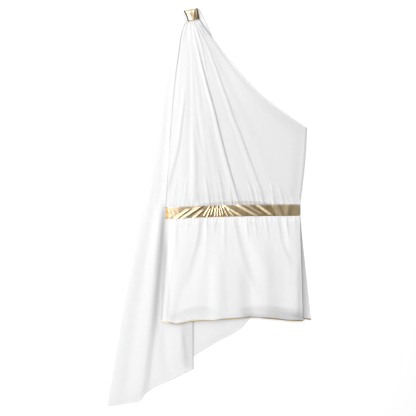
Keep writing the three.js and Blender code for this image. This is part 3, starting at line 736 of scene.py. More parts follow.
def cape_columns():
    """The cape's columns along its cloth: upper layer, fold, return, fold, lower layer."""
    columns = []
    turn = CAPE_STEP / 2

    def add(hem, start, level, height=0.0, share=None, fold=0.0):
        columns.append(
            {"hem": hem, "start": start, "level": level, "height": height, "share": share, "fold": fold}
        )

    def turn_back(hem, start, level, side, fold=0.0):
        for angle in np.radians((60, 30, 0, -30, -60)):
            out = side * turn * math.cos(angle)
            add(hem + (out, 0), start + (out, 0), level + turn * math.sin(angle), fold=fold)

    upper = smooth_line([(row["x"], row["y"], row["height"]) for row in CAPE_HEM], 91)
    for i, (x, y, height) in enumerate(upper):
        share = i / (len(upper) - 1)
        level = CAPE_LEVEL + 2 * CAPE_STEP * float(ease(x, -150, -95))
        add((x, y), mix(CAPE_TOP_LEFT, CAPE_FOLD_TOP, share), level, max(0, height), share)
    fold_hem = upper[-1][:2]
    return_hem = np.array((CAPE_UNDER_HEM[0]["x"], CAPE_UNDER_HEM[0]["y"]))
    turn_back(fold_hem, CAPE_FOLD_TOP, CAPE_LEVEL + 1.5 * CAPE_STEP, 1, 1.0)
    for share in np.linspace(0, 1, 9):
        start = mix(CAPE_FOLD_TOP, CAPE_RETURN_TOP, share)
        add(mix(fold_hem, return_hem, share), start, CAPE_LEVEL + CAPE_STEP)
    turn_back(return_hem, CAPE_RETURN_TOP, CAPE_LEVEL + 0.5 * CAPE_STEP, -1)
    under = smooth_line([(row["x"], row["y"], row["height"]) for row in CAPE_UNDER_HEM], 51)
    for i, (x, y, height) in enumerate(under):
        start = mix(CAPE_RETURN_TOP, CAPE_RIGHT_TOP, i / (len(under) - 1))
        add((x, y), start, CAPE_LEVEL, max(0, height))
    return columns


def make_cape_grid(sizes):
    """The cape's middle surface in mm, its shares down and its shade."""
    columns = cape_columns()
    hem, start, level, height, fold_end = (
        np.array([c[key] for c in columns], float) for key in ("hem", "start", "level", "height", "fold")
    )
    share = np.array([1.0 if c["share"] is None else c["share"] for c in columns])
    is_upper = np.array([c["share"] is not None for c in columns])
    down = np.repeat(spaced_shares(131)[:, None], len(columns), 1)
    shape = down.shape + (2,)
    bow = np.broadcast_to(np.where(is_upper, CAPE_EDGE_BOW * (1 - share), 0), down.shape)
    p = bowed(np.broadcast_to(start, shape), np.broadcast_to(hem, shape), down, bow, 1)
    x, y = p[..., 0], p[..., 1]
    foot, top = DRESS_EDGE[0]["at"], DRESS_EDGE[-1]["at"]
    clear = ease(read(DRESS_EDGE, np.clip(y, foot, top), "x") - x, -4, 10)
    clear = np.maximum(clear, ease(foot - y, 0, 33))
    laid, shade = crease_relief(CAPE_CREASES, x, y)
    upper_only = is_upper * (1 - ease(share, 0.9, 1))
    shade = shade * upper_only + mix(CAPE_SHADE["low"], CAPE_SHADE["high"], ease(y, -300, 250))
    under = height * ease(down, 0.35, 0.8) * (1 - is_upper)
    relief = above_bed(sizes.fold_depth * (laid * upper_only + under)) * clear * (1 - fold_end)
    z = level + relief * (1 - 0.7 * ease(down, 0.96, 1))
    return np.stack([x, y, z], -1), down, shade


def squared(wave):
    """A sine or cosine bent towards a flattened ring's."""
    return np.sign(wave) * np.abs(wave) ** 0.5


def band_ring(down, inset):
    """A flattened ring across the shoulder band, inset from its outer face. The inner wall, which has
    an inset, follows the outer one's dents and not its crests."""
    left = mix(BAND_TOP_LEFT, BAND_RIM_LEFT, down) + (BAND_HOLLOW * math.sin(math.pi * down), 0)
    right = mix(BAND_TOP_RIGHT, BAND_RIM_RIGHT, down)
    centre, reach = (left + right) / 2, (right - left) / 2
    along = reach * (1 - inset / np.linalg.norm(reach))
    near_top = min(max(down / 0.3, 0.06), 1)
    height = BAND_HALF_HEIGHT * math.sqrt(near_top * (2 - near_top)) - inset
    angle = np.linspace(0, TAU, BAND_SIDES, endpoint=False)
    across, up = squared(np.cos(angle)), squared(np.sin(angle))
    crest = mix(-0.3, -0.25, down) + 0.08 * math.sin(9 * down)
    folds = 1.5 * bump((across - crest) / 0.42) - 0.9 * bump((across + 0.66) / 0.2)
    folds = folds - 1.3 * ease(across, 0.05, 0.75) + 0.7 * bump((across - mix(0.6, 0.0, down)) / 0.22)
    folds = folds * np.maximum(up, 0) * math.sin(math.pi * min(0.85, 0.15 + down))
    folds = np.minimum(folds, 0) if inset else folds
    x, y = centre[0] + along[0] * across, centre[1] + along[1] * across
    return np.stack([x, y, BAND_MIDDLE + height * up + folds], -1)


def grid_normals(points):
    """Unit normals of a grid of points, up where rows run down and columns to the right."""
    down = np.gradient(points, axis=0)
    across = np.gradient(points, axis=1)
    normals = np.cross(down, across)
    return normals / np.maximum(np.linalg.norm(normals, axis=-1, keepdims=True), 1e-9)


def grid_lengths(points):
    """Distance along the columns and along the rows from the grid's corner, for its UV map."""
    rows, columns = points.shape[:2]
    step_across = np.linalg.norm(np.diff(points, axis=1), axis=2)
    step_down = np.linalg.norm(np.diff(points, axis=0), axis=2)
    u = np.hstack([np.zeros((rows, 1)), np.cumsum(step_across, axis=1)])
    v = np.vstack([np.zeros((1, columns)), np.cumsum(step_down, axis=0)])
    return u - u[:, columns // 2 : columns // 2 + 1], v


def border_of(index):
    """The indices round the edge of a grid of indices."""
    return np.concatenate([index[0, :-1], index[:-1, -1], index[-1, :0:-1], index[:0:-1, 0]])


def add_mask(mesh, name, values):
    """Gives each point of a mesh a number for its material to read."""
    mask = mesh.attributes.new(name, "FLOAT", "POINT")
    mask.data.foreach_set("value", values.astype(np.float32))


def new_mesh(name, vertices, faces, smooth, uv, masks, cloth):
    """A mesh of points in mm, with a UV map in metres, point attributes and a material."""
    mesh = bpy.data.meshes.new(name)
    mesh.from_pydata((vertices * MM).tolist(), [], faces)
    mesh.polygons.foreach_set("use_smooth", smooth)
    loops = np.zeros(len(mesh.loops), np.int32)
    mesh.loops.foreach_get("vertex_index", loops)
    layer = mesh.uv_layers.new(name="cloth")
    layer.data.foreach_set("uv", uv[loops].astype(np.float32).ravel())
    for mask_name, values in masks.items():
        add_mask(mesh, mask_name, values)
    mesh.materials.append(cloth)
    return mesh


def make_shell(name, points, thickness, cloth, masks):
    """A thin closed sheet about a grid of points in mm."""
    count = points.shape[0] * points.shape[1]
    half = grid_normals(points) * (thickness / 2)
    vertices = np.concatenate([(points + half).reshape(-1, 3), (points - half).reshape(-1, 3)])
    index = np.arange(count).reshape(points.shape[:2])
    quad = np.stack([index[:-1, :-1], index[1:, :-1], index[1:, 1:], index[:-1, 1:]], -1).reshape(-1, 4)
    border = border_of(index)
    after = np.roll(border, -1)
    rim = np.stack([border, after, after + count, border + count], -1)
    faces = np.concatenate([quad, quad[:, ::-1] + count, rim])
    smooth = np.arange(len(faces)) < len(faces) - len(rim)
    uv = np.stack([np.tile(length.ravel(), 2) for length in grid_lengths(points * MM)], -1)
    both_sides = {mask_name: np.tile(values.ravel(), 2) for mask_name, values in masks.items()}
    mesh = new_mesh(name, vertices, faces.tolist(), smooth, uv, both_sides, cloth)
    mesh.validate()
    mesh.set_sharp_from_angle(angle=math.radians(60))
    return link(bpy.data.objects.new(name, mesh))


def link(obj):
    bpy.context.scene.collection.objects.link(obj)
    return obj


GRIDS = {}


def add_sheet(obj, node):
    """Attaches a sheet to the root and hides the part that it stands for."""
    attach(obj, "root")
    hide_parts(node)


def lay_sheet(node, points, slot, rests_on, held="laid", with_pieces=(), **masks):
    """Makes a sheet for a node in its slot's cloth, and adds it."""
    size, cloth = {
        "chiffon": ("cloth", "white chiffon"),
        "lining": ("lining", "white lining"),
        "gold_lame": ("lame", "gold lame"),
    }[slot]
    thickness = getattr(bpy.context.scene.toga_sizes, size) / MM
    sheet = make_shell(f"{node}_cloth", points, thickness, material(cloth), masks)
    GRIDS[node] = points
    add_sheet(sheet, node)


# Materials


def put(tree, value, socket):
    """Links an input to an output socket, or gives it a plain value."""
    if isinstance(value, bpy.types.NodeSocket):
        tree.links.new(value, socket)
    else:
        socket.default_value = value


def plug(tree, node, **values):
    """Fills a node's inputs by name, with _ for each space, and sets the rest as its properties."""
    for key, value in values.items():
        name = key.replace("_", " ")
        if name in node.inputs:
            put(tree, value, node.inputs[name])
        else:
            setattr(node, key, value)
    return node


def add_node(tree, kind, **values):
    return plug(tree, tree.nodes.new(kind), **values)


def maths(tree, operation, *values):
    """The result of a math node on sockets or numbers."""
    node = add_node(tree, "ShaderNodeMath", operation=operation)
    for socket, value in zip(node.inputs, values):
        put(tree, value, socket)
    return node.outputs[0]


def ranged(tree, value, low, high, to_low, to_high):
    """A value moved from one range to another."""
    node = add_node(
        tree, "ShaderNodeMapRange", Value=value, From_Min=low, From_Max=high, To_Min=to_low,
        To_Max=to_high,
    )
    return node.outputs["Result"]


def mixed_colour(tree, factor, a, b):
    """A colour between two, by a factor socket. The first may be a socket too."""
    node = add_node(tree, "ShaderNodeMix", data_type="RGBA")
    first = a if isinstance(a, bpy.types.NodeSocket) else (*a, 1)
    for number, value in ((0, factor), (6, first), (7, (*b, 1))):
        put(tree, value, node.inputs[number])
    return node.outputs[2]


def point_mask(tree, name):
    return add_node(tree, "ShaderNodeAttribute", attribute_name=name).outputs["Fac"]


def bumped(tree, height, strength, distance, **normal):
    """The normal of a bumpy surface, on top of another normal if one is given."""
    node = add_node(
        tree, "ShaderNodeBump", Strength=strength, Distance=distance, Height=height, **normal
    )
    return node.outputs["Normal"]


def cloth_place(tree):
    """The place on a sheet's UV map, whole and as its X and Y."""
    place = add_node(tree, "ShaderNodeUVMap", uv_map="cloth").outputs["UV"]
    apart = add_node(tree, "ShaderNodeSeparateXYZ", Vector=place)
    return place, apart.outputs["X"], apart.outputs["Y"]


def new_group(name, kind, inputs, outputs):
    """A node group with named sockets, and its input and output nodes. Inputs are (name, kind, value)."""
    group = bpy.data.node_groups.new(name, kind)
    for socket, socket_kind, default in inputs:
        made = group.interface.new_socket(
            socket, in_out="INPUT", socket_type="NodeSocket" + socket_kind
        )
        if default is not None:
            made.default_value = default
    for socket, socket_kind in outputs:
        group.interface.new_socket(socket, in_out="OUTPUT", socket_type="NodeSocket" + socket_kind)
    return group, group.nodes.new("NodeGroupInput"), group.nodes.new("NodeGroupOutput")


def made_once(name, make):
    """A node group, made the first time that it is asked for."""
    return bpy.data.node_groups.get(name) or make()


def weave_group():
    """Crossing threads over a sheet's UV map: their height and an uneven tone."""
    group, given, result = new_group(
        "woven threads", "ShaderNodeTree",
        [("Threads per Metre", "Float", 1400.0), ("Unevenness", "Float", 0.35)],
        [("Height", "Float"), ("Tone", "Float")],
    )
    place, x, y = cloth_place(group)
    slubs = add_node(
        group, "ShaderNodeTexNoise", Vector=place, Scale=90.0, Detail=4.0, Roughness=0.6
    )
    wander = maths(group, "MULTIPLY", slubs.outputs["Fac"], given.outputs["Unevenness"])
    waves = []
    for axis in (x, y):
        along = maths(group, "MULTIPLY", axis, given.outputs["Threads per Metre"])
        turned = maths(group, "MULTIPLY", maths(group, "ADD", along, wander), TAU / 2)
        waves.append(maths(group, "ABSOLUTE", maths(group, "SINE", turned)))
    threads = maths(group, "MULTIPLY", *waves)
    plug(group, result, Height=maths(group, "ADD", threads, wander), Tone=slubs.outputs["Fac"])
    return group


def crinkle_group():
    """Small sharp creases of foiled cloth over its UV map: their height and a mask of their valleys."""
    group, given, result = new_group(
        "foil creases", "ShaderNodeTree",
        [("Creases per Metre", "Float", 60.0), ("Stretch", "Float", 0.35)],
        [("Height", "Float"), ("Valleys", "Float")],
    )
    _, x, y = cloth_place(group)
    squeezed = maths(group, "MULTIPLY", y, given.outputs["Stretch"])
    place = add_node(group, "ShaderNodeCombineXYZ", X=x, Y=squeezed)
    noise = add_node(
        group, "ShaderNodeTexNoise", noise_type="RIDGED_MULTIFRACTAL", Vector=place.outputs[0],
        Scale=given.outputs["Creases per Metre"], Detail=3.0, Roughness=0.55,
    )
    height = noise.outputs["Fac"]
    plug(group, result, Height=height, Valleys=maths(group, "SUBTRACT", 1.0, height))
    return group


def new_material(name):
    made = bpy.data.materials.new(name)
    made.use_nodes = True
    return made, made.node_tree, made.node_tree.nodes["Principled BSDF"]


def cloth_material(name, colour, shade, threads, opacity, doubled_opacity):
    """White cloth: darker where the shade attribute is 1, and denser where the doubled attribute is 1.
    Below 0, doubled makes it more sheer, as where it is stretched over a seam."""
    made, tree, shader = new_material(name)
    weave = made_once("woven threads", weave_group)
    woven = add_node(tree, "ShaderNodeGroup", node_tree=weave, Threads_per_Metre=threads)
    tone = ranged(tree, woven.outputs["Tone"], 0.3, 0.7, -0.02, 0.03)
    depth = maths(tree, "ADD", point_mask(tree, "shade"), tone)
    if opacity < 1:
        sheerest = 2 * opacity - doubled_opacity
        doubled = point_mask(tree, "doubled")
        plug(tree, shader, Alpha=ranged(tree, doubled, -1, 1, sheerest, doubled_opacity))
    plug(
        tree, shader, Base_Color=mixed_colour(tree, depth, colour, shade), Roughness=0.72,
        Specular_IOR_Level=0.25, Sheen_Weight=0.15, Sheen_Roughness=0.45,
        Normal=bumped(tree, woven.outputs["Height"], 0.2, 0.0003),
    )
    return made


def lame_material(name, gold, gold_painted_shade):
    """Gold foil on a fine weave. Painted shade and reflection: darker gold where the shade attribute is 1
    and in its small creases' valleys, near-black at 2.
    """
    made, tree, shader = new_material(name)
    crinkle = made_once("foil creases", crinkle_group)
    weave = made_once("woven threads", weave_group)
    creased = add_node(
        tree, "ShaderNodeGroup", node_tree=crinkle, Creases_per_Metre=85.0, Stretch=0.4
    )
    woven = add_node(
        tree, "ShaderNodeGroup", node_tree=weave, Threads_per_Metre=LAME_THREADS, Unevenness=0.15
    )
    shade = point_mask(tree, "shade")
    # Painted shade in the small creases' valleys, added to the shade attribute
    valleys = ranged(tree, creased.outputs["Valleys"], 0.4, 0.95, 0, 0.18)
    valleys = maths(tree, "MINIMUM", maths(tree, "ADD", valleys, shade), 1.0)
    blackened = maths(tree, "MAXIMUM", maths(tree, "SUBTRACT", shade, 1.0), 0.0)
    colour = mixed_colour(tree, valleys, gold, gold_painted_shade)
    coarse = bumped(tree, creased.outputs["Height"], 0.5, 0.0012)
    plug(
        tree, shader, Base_Color=mixed_colour(tree, blackened, colour, PAINTED_SHADE_BLACK), Metallic=1.0,
        Roughness=ranged(tree, woven.outputs["Tone"], 0.3, 0.7, 0.28, 0.4),
        Normal=bumped(tree, woven.outputs["Height"], 0.12, 0.0002, Normal=coarse),
    )
    return made


def thread_material(name, colour, metallic):
    """Twisted sewing thread, in bands along the object's own X and Y."""
    made, tree, shader = new_material(name)
    coords = tree.nodes.new("ShaderNodeTexCoord")
    wave = add_node(
        tree, "ShaderNodeTexWave", bands_direction="DIAGONAL", Vector=coords.outputs["Object"],
        Scale=900.0, Distortion=1.5,
    )
    twist = wave.outputs["Fac"]
    darker = tuple(0.8 * value for value in colour)
    plug(
        tree, shader, Base_Color=mixed_colour(tree, ranged(tree, twist, 0, 1, 0, 0.6), colour, darker),
        Roughness=0.5, Metallic=metallic, Normal=bumped(tree, twist, 0.3, 0.0002),
    )
    return made


def material(name):
    """One of the costume's materials, made the first time that it is asked for."""
    made = bpy.data.materials.get(name)
    if made:
        return made
    colours = bpy.context.scene.toga_colours
    make, *values = {
        "white chiffon": (
            cloth_material, colours.chiffon, colours.chiffon_shade, CHIFFON_THREADS,
            CHIFFON_OPACITY, DOUBLED_OPACITY,
        ),
        "white lining": (cloth_material, colours.lining, colours.chiffon_shade, LINING_THREADS, 1, 1),
        "gold lame": (lame_material, colours.gold, colours.gold_painted_shade),
        "white thread": (thread_material, THREAD_WHITE, 0.0),
        "gold thread": (thread_material, colours.gold, 0.8),
    }[name]
    return make(name, *values)


# Geometry Nodes


def new_geometry_tree(name, inputs):
    """A geometry tree, its input and output nodes, and the curves of the paths that it is given."""
    tree, given, result = new_group(
        name, "GeometryNodeTree", [("Geometry", "Geometry", None), *inputs], [("Geometry", "Geometry")]
    )
    curves = add_node(tree, "GeometryNodeMeshToCurve", Mesh=given.outputs["Geometry"])
    return tree, given.outputs, result, curves.outputs[0]


def stitch_tree():
    """Small rounded stitches at even steps along each path."""
    tree, given, result, curves = new_geometry_tree(
        "stitches along paths",
        [
            ("Length", "Float", 0.0026),
            ("Gap", "Float", 0.0009),
            ("Thickness", "Float", 0.0002),
            ("Seed", "Int", 3),
            ("Thread", "Material", None),
        ],
    )
    pitch = maths(tree, "ADD", given["Length"], given["Gap"])
    points = add_node(tree, "GeometryNodeCurveToPoints", mode="LENGTH", Curve=curves, Length=pitch)
    ball = add_node(tree, "GeometryNodeMeshUVSphere", Segments=6, Rings=5, Radius=1.0)
    half = maths(tree, "MULTIPLY", given["Length"], 0.5)
    size = add_node(
        tree, "ShaderNodeCombineXYZ", X=given["Thickness"], Y=given["Thickness"], Z=half
    )
    stitches = add_node(
        tree, "GeometryNodeInstanceOnPoints", Points=points.outputs["Points"],
        Rotation=points.outputs["Rotation"], Instance=ball.outputs["Mesh"], Scale=size.outputs[0],
    )
    wobble = add_node(tree, "FunctionNodeRandomValue", data_type="FLOAT_VECTOR", Seed=given["Seed"])
    for number, limit in enumerate((-0.04, 0.04)):
        wobble.inputs[number].default_value = (limit, limit, limit)
    turned = add_node(
        tree, "GeometryNodeRotateInstances", Instances=stitches.outputs[0], Rotation=wobble.outputs[0]
    )
    finish_tree(tree, turned.outputs[0], given["Thread"], result)
    return tree


def trim_tree():
    """A narrow rolled trim along a path, lumpy as folded lame is."""
    tree, given, result, curves = new_geometry_tree(
        "rolled trim along a path",
        [
            ("Radius", "Float", 0.0017),
            ("Step", "Float", 0.0012),
            ("Lumps", "Float", 0.22),
            ("Lumps per Metre", "Float", 90.0),
            ("Cloth", "Material", None),
        ],
    )
    even = add_node(
        tree, "GeometryNodeResampleCurve", mode="LENGTH", Curve=curves, Length=given["Step"]
    )
    noise = add_node(tree, "ShaderNodeTexNoise", Scale=given["Lumps per Metre"])
    thinnest = maths(tree, "SUBTRACT", 1.0, given["Lumps"])
    thickest = maths(tree, "ADD", 1.0, given["Lumps"])
    lumps = ranged(tree, noise.outputs["Fac"], 0, 1, thinnest, thickest)
    lumpy = add_node(tree, "GeometryNodeSetCurveRadius", Curve=even.outputs[0], Radius=lumps)
    profile = add_node(
        tree, "GeometryNodeCurvePrimitiveCircle", Resolution=10, Radius=given["Radius"]
    )
    sweep = add_node(
        tree, "GeometryNodeCurveToMesh", Curve=lumpy.outputs[0],
        Profile_Curve=profile.outputs["Curve"], Fill_Caps=True,
    )
    finish_tree(tree, sweep.outputs[0], given["Cloth"], result)
    return tree


def finish_tree(tree, geometry, cloth, result):
    """Realizes instances and sets the material, as the tree's last nodes."""
    real = add_node(tree, "GeometryNodeRealizeInstances", Geometry=geometry)
    dressed = add_node(tree, "GeometryNodeSetMaterial", Geometry=real.outputs[0], Material=cloth)
    plug(tree, result, Geometry=dressed.outputs[0])


def grow(name, paths, tree, values):
    """Runs a Geometry Nodes tree on paths in mm and returns its result as a plain mesh object."""
    vertices, edges = [], []
    for path in paths:
        first = len(vertices)
        vertices.extend((np.asarray(path, float) * MM).tolist())
        edges.extend((first + i, first + i + 1) for i in range(len(path) - 1))
    guide_mesh = bpy.data.meshes.new(name + "_guide")
    guide_mesh.from_pydata(vertices, edges, [])
    guide = link(bpy.data.objects.new(name + "_guide", guide_mesh))
    modifier = guide.modifiers.new("grow", "NODES")
    modifier.node_group = tree
    sockets = {item.name: item.identifier for item in tree.interface.items_tree if item.in_out == "INPUT"}
    for key, value in values.items():
        modifier[sockets[key]] = value
    bpy.context.view_layer.update()
    evaluated = guide.evaluated_get(bpy.context.evaluated_depsgraph_get())
    mesh = bpy.data.meshes.new_from_object(evaluated)
    if not len(mesh.polygons):
        raise RuntimeError(f"{name}: the tree made no faces")
    mesh.name = name
    mesh.polygons.foreach_set("use_smooth", np.ones(len(mesh.polygons), bool))
    bpy.data.objects.remove(guide)
    bpy.data.meshes.remove(guide_mesh)
    return link(bpy.data.objects.new(name, mesh))


def lifted(line, rise):
    """A line of points, moved up."""
    line = line.copy()
    line[:, 2] += rise
    return line


def sew(name, paths, thread):
    """A piece of stitches along some paths."""
    stitch = bpy.context.scene.toga_sizes.stitch
    values = {
        "Length": stitch, "Gap": stitch * STITCH_GAP, "Thickness": STITCH_THICKNESS, "Seed": 3,
        "Thread": material(thread),
    }
    obj = grow(name, paths, made_once("stitches along paths", stitch_tree), values)
    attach(obj, "root")
    return obj


def edge_shade(share, reach):
    """1 at a covered edge, falling to 0 within reach."""
    return 1 - ease(share, 0, reach)


# Pieces


class TOGA_OT_cape(bpy.types.Operator):
    """Make the cape, folded once, under the dress"""

    bl_idname = "toga.cape"
    bl_label = "Cape"

    def execute(self, context):
        grid, down, shade = make_cape_grid(context.scene.toga_sizes)
        hem = 0.25 * ease(down, 0.985, 0.992)
        lay_sheet(
            "cape", grid, "chiffon", ["floor"], held="folded", with_pieces=["cape_hem_stitches"],
            shade=shade, doubled=hem,
        )
        return {"FINISHED"}


class TOGA_OT_bodice(bpy.types.Operator):
    """Make the bodice's front and back"""

    bl_idname = "toga.bodice"
    bl_label = "Bodice"

    def execute(self, context):
        grid, across, down = make_bodice_back_grid()
        _, away = beside(FRONT_NECK, grid[..., 0], grid[..., 1])
        # Painted shadow in a thin line beside the front's neckline, near the top of the back
        beside_neck = ease(away, -5, -1) * (1 - ease(away, 0.8, 3.6))
        lay_sheet(
            "bodice_back", grid, "chiffon", ["cape_cloth"],
            shade=1.1 * beside_neck * (1 - ease(down, 0.14, 0.3)), doubled=ease(across, 0.99, 0.995),
        )

        grid, across, down, shade, sheer = make_bodice_front_grid(context.scene.toga_sizes)
        seam = 0.12 * ease(across, WAIST_SHARE, WAIST_SHARE + 0.01) * ease(down, 0.955, 0.965)
        lay_sheet(
            "bodice_front", grid, "chiffon", ["bodice_back_cloth"], held="gathered",
            with_pieces=["neckline_stitches"], shade=shade, doubled=seam - 0.9 * sheer,
        )
        return {"FINISHED"}


class TOGA_OT_skirt(bpy.types.Operator):
    """Make the skirt's back, lining and front"""

    bl_idname = "toga.skirt"
    bl_label = "Skirt"

    def execute(self, context):
        grid, across, down = make_skirt_back_grid()
        x = grid[..., 0]
        lining_hem = smooth_line(LINING_HEM, 200)
        below = np.interp(x, lining_hem[:, 0], lining_hem[:, 1]) - grid[..., 1]
        # Painted shadow below the lining's hem, and painted shade on the strip past the front's side edge
        left_arc = 0.8 * bump((x + 48) / 82) * (1 - ease(below, 4, 22))
        right_arc = 1.2 * ease(x, 85, 120) * (1 - ease(x, 268, 278))
        past_front = 0.9 * edge_shade((x - 278) / 28, 1.3)
        lay_sheet(
            "skirt_back", grid, "chiffon", ["cape_cloth"], with_pieces=["hem_trim_back_cloth"],
            shade=np.maximum(past_front, (left_arc + right_arc) * ease(below, -8, 0)),
            doubled=ease(down, 0.98, 0.985),
        )

        grid, across, down = make_lining_grid()
        lay_sheet(
            "skirt_lining", grid, "lining", ["skirt_back_cloth"], with_pieces=["lining_hem_stitches"],
            shade=np.zeros_like(across),
        )

        grid, across, down = make_skirt_front_grid(context.scene.toga_sizes)
        x, y = grid[..., 0], grid[..., 1]
        _, shade = crease_relief(SKIRT_CREASES, x, y)
        # Painted shade: the creases' own, along the left edge, and near the hem towards the right
        left_edge = (1 - ease(across, 0.02, 0.05)) * ease(-y, 60, 150)
        near_hem = 0.12 * ease(-y, 296, 306) + 0.5 * ease(-y, 308, 328)
        shade = shade + 0.35 * edge_shade(across, 0.04) + 0.4 * left_edge
        lay_sheet(
            "skirt_front", grid, "chiffon", ["skirt_lining_cloth"], held="gathered",
            with_pieces=["hem_trim_front_cloth"], shade=shade + near_hem * ease(x, 85, 125),
            doubled=0.1 * ease(0.03 - across, 0, 0.006),
        )
        return {"FINISHED"}


class TOGA_OT_waistband(bpy.types.Operator):
    """Make the ruched gold waistband's front and its back"""

    bl_idname = "toga.waistband"
    bl_label = "Waistband"

    def execute(self, context):
        grid, across = make_waistband_back_grid()
        # Painted shade over all of the back band
        lay_sheet(
            "waistband_back", grid, "gold_lame", ["cape_cloth"], shade=np.full_like(across, 0.3)
        )

        grid, across, height = make_waistband_front_grid()
        # Painted shade and reflection on the lame: a little all over, more towards the right end and in the
        # valleys between the ruches, less on the ruches' strips, dark along the left end and none at the
        # very right end
        ruched = ease(across, 0.06, 0.14) * (1 - ease(across, 0.76, 0.86))
        strip = ruched * np.clip(height / 1.4, 0, 1)
        shade = 0.17 + 0.3 * ease(across, 0.25, 0.95) + 0.3 * (ruched - strip)
        shade = shade * (1 - 0.7 * strip) + (1 - ease(across, 0.006, 0.022))
        lay_sheet(
            "waistband_front", grid, "gold_lame", ["waistband_back_cloth"], held="gathered",
            with_pieces=["waistband_stitches"], shade=shade * (1 - ease(across, 0.985, 0.99)),
        )
        return {"FINISHED"}


class TOGA_OT_shoulder_band(bpy.types.Operator):
    """Make the gold band round the shoulder gathers"""

    bl_idname = "toga.shoulder_band"
    bl_label = "Shoulder Band"

    def execute(self, context):
        outer = [band_ring(down, 0) for down in np.linspace(0, 1, 33)]
        inner = [band_ring(down, BAND_WALL) for down in np.linspace(1, 0.3, 24)]
        rings = np.array(outer + inner)
        index = np.arange(len(rings) * BAND_SIDES).reshape(len(rings), BAND_SIDES)
        after = np.roll(index, -1, axis=1)
        quads = np.stack([index[:-1], index[1:], after[1:], after[:-1]], -1).reshape(-1, 4)
        faces = [*quads.tolist(), index[0].tolist(), index[-1, ::-1].tolist()]

        across = squared(np.cos(np.linspace(0, TAU, BAND_SIDES, endpoint=False)))
        across = np.tile(across, len(rings))
        down = np.repeat(np.linspace(0, 1, len(rings)) * len(rings) / len(outer), BAND_SIDES)
        # Painted reflection and shade on the band: a darker facet on its right, lighter in a tongue near its
        # top, and near-black down both sides
        facet = 0.7 * ease(across - mix(0.5, 0.05, np.minimum(down, 1)), 0, 0.08)
        tongue = 0.6 * bump((across - 0.66) / 0.25) * (1 - ease(down, 0.4, 0.6))
        sides_dark = 2 * ease(np.abs(across), 0.8, 0.86)
        around = np.tile(np.linspace(0, 0.1, BAND_SIDES), len(rings))
        along = np.repeat(np.linspace(0, 0.08, len(rings)), BAND_SIDES)
        mesh = new_mesh(
            "shoulder_band_cloth", rings.reshape(-1, 3), faces, np.ones(len(faces), bool),
            np.stack([around, along], -1), {"shade": np.maximum(sides_dark, facet - tongue)},
            material("gold lame"),
        )
        band = link(bpy.data.objects.new("shoulder_band_cloth", mesh))
        add_sheet(
            band, "shoulder_band",
        )
        return {"FINISHED"}


class TOGA_OT_hem_trim(bpy.types.Operator):
    """Make the rolled gold trim along the two hems"""

    bl_idname = "toga.hem_trim"
    bl_label = "Hem Trim"

    def execute(self, context):
        radius = context.scene.toga_sizes.trim_radius
        tree = made_once("rolled trim along a path", trim_tree)
        for side in ("back", "front"):
            path = lifted(GRIDS[f"skirt_{side}"][-1], 0.5)
            path[:, 1] -= SEAM_GAP + radius / MM * 0.9
            path[:, 2] = np.maximum(path[:, 2], radius / MM * 1.25)
            values = {"Radius": radius, "Cloth": material("gold lame")}
            trim = grow(f"hem_trim_{side}_cloth", [path], tree, values)
            places = np.empty(3 * len(trim.data.vertices))
            trim.data.vertices.foreach_get("co", places)
            # Painted shade on the trim, darker towards the right
            add_mask(trim.data, "shade", 0.5 * ease(places[::3] / MM, 70, 130))
            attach(trim, "root")
            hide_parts(f"hem_trim_{side}")
        return {"FINISHED"}


class TOGA_OT_stitching(bpy.types.Operator):
    """Sew the stitches along the hems and the waistband"""

    bl_idname = "toga.stitching"
    bl_label = "Stitching"

    def execute(self, context):
        band = GRIDS["waistband_front"]
        sew("neckline_stitches", [lifted(GRIDS["bodice_front"][3:, -4], ON_DRESS)], "white thread")
        sew("lining_hem_stitches", [lifted(GRIDS["skirt_lining"][-4], ON_DRESS)], "white thread")
        sew("cape_hem_stitches", [lifted(GRIDS["cape"][-2], ON_CAPE)], "white thread")
        sew("waistband_stitches", [lifted(band[row], ON_BAND) for row in (2, -3)], "gold thread")
        return {"FINISHED"}


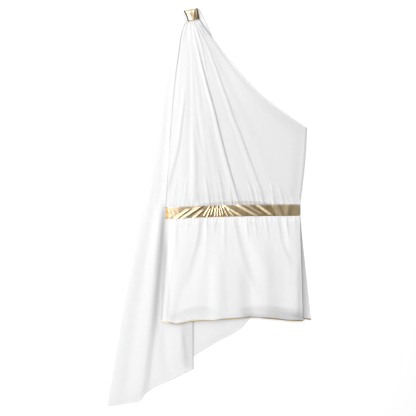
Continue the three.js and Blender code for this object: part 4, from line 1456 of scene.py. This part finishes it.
class TOGA_OT_stage(bpy.types.Operator):
    """Lay the floor and set the lights and the camera"""

    bl_idname = "toga.stage"
    bl_label = "Stage"

    def execute(self, context):
        scene = context.scene
        corners = [(x * FLOOR_HALF, y * FLOOR_HALF, FLOOR_LEVEL) for x, y in FLOOR_CORNERS]
        mesh = bpy.data.meshes.new("floor")
        mesh.from_pydata(corners, [], [(0, 1, 2, 3)])
        floor_material, tree, shader = new_material("pale floor")
        plug(
            tree, shader, Base_Color=(*scene.toga_colours.floor, 1), Roughness=0.9,
            Specular_IOR_Level=0.1, Emission_Color=(1, 1, 1, 1), Emission_Strength=FLOOR_GLOW,
        )
        mesh.materials.append(floor_material)
        floor = link(bpy.data.objects.new("floor", mesh))

        for name, place, size, power in LAMPS:
            light = bpy.data.lights.new(name, "AREA")
            light.shape = "SQUARE"
            light.size = size
            light.energy = power
            lamp = link(bpy.data.objects.new(name, light))
            lamp.location = place
            aim = Vector((0, 0, 0)) - lamp.location
            lamp.rotation_euler = aim.to_track_quat("-Z", "Y").to_euler()

        world = bpy.data.worlds.new("studio")
        world.use_nodes = True
        tree = world.node_tree
        coords = tree.nodes.new("ShaderNodeTexCoord")
        toward = add_node(tree, "ShaderNodeVectorMath", operation="DOT_PRODUCT")
        put(tree, coords.outputs["Generated"], toward.inputs[0])
        put(tree, WINDOW_SIDE, toward.inputs[1])
        strength = ranged(tree, toward.outputs["Value"], -0.7, 0.8, 0.12, 0.96)
        plug(tree, tree.nodes["Background"], Color=(1, 1, 1, 1), Strength=strength)
        scene.world = world
        scene.view_settings.view_transform = "Standard"

        data = bpy.data.cameras.new("photo_view")
        data.lens = LENS_MM
        data.sensor_width = SENSOR_MM
        camera = link(bpy.data.objects.new("photo_view", data))
        camera.location = (*VIEW_CENTRE, VIEW_WIDTH * LENS_MM / SENSOR_MM)
        camera.rotation_euler = (0, 0, 0)
        scene.camera = camera
        return {"FINISHED"}


class TOGA_PT_panel(bpy.types.Panel):
    """Lists the costume's sizes, colours and pieces"""

    bl_idname = "TOGA_PT_panel"
    bl_label = "Roman Toga"
    bl_space_type = "VIEW_3D"
    bl_region_type = "UI"
    bl_category = "Toga"

    def draw(self, context):
        for group in (context.scene.toga_sizes, context.scene.toga_colours):
            for name in type(group).__annotations__:
                self.layout.prop(group, name)
        for operator in OPERATORS:
            self.layout.operator(operator.bl_idname)


OPERATORS = (
    TOGA_OT_cape,
    TOGA_OT_bodice,
    TOGA_OT_skirt,
    TOGA_OT_waistband,
    TOGA_OT_shoulder_band,
    TOGA_OT_hem_trim,
    TOGA_OT_stitching,
    TOGA_OT_stage,
)
CLASSES = (TogaSizes, TogaColours, *OPERATORS, TOGA_PT_panel)


def register():
    for cls in CLASSES:
        bpy.utils.register_class(cls)
    bpy.types.Scene.toga_sizes = PointerProperty(type=TogaSizes)
    bpy.types.Scene.toga_colours = PointerProperty(type=TogaColours)


def unregister():
    del bpy.types.Scene.toga_colours
    del bpy.types.Scene.toga_sizes
    for cls in reversed(CLASSES):
        bpy.utils.unregister_class(cls)


def main():
    register()
    bpy.ops.toga.cape()
    bpy.ops.toga.bodice()
    bpy.ops.toga.skirt()
    bpy.ops.toga.waistband()
    bpy.ops.toga.shoulder_band()
    bpy.ops.toga.hem_trim()
    bpy.ops.toga.stitching()
    bpy.ops.toga.stage()


if __name__ == "__main__":
    main()
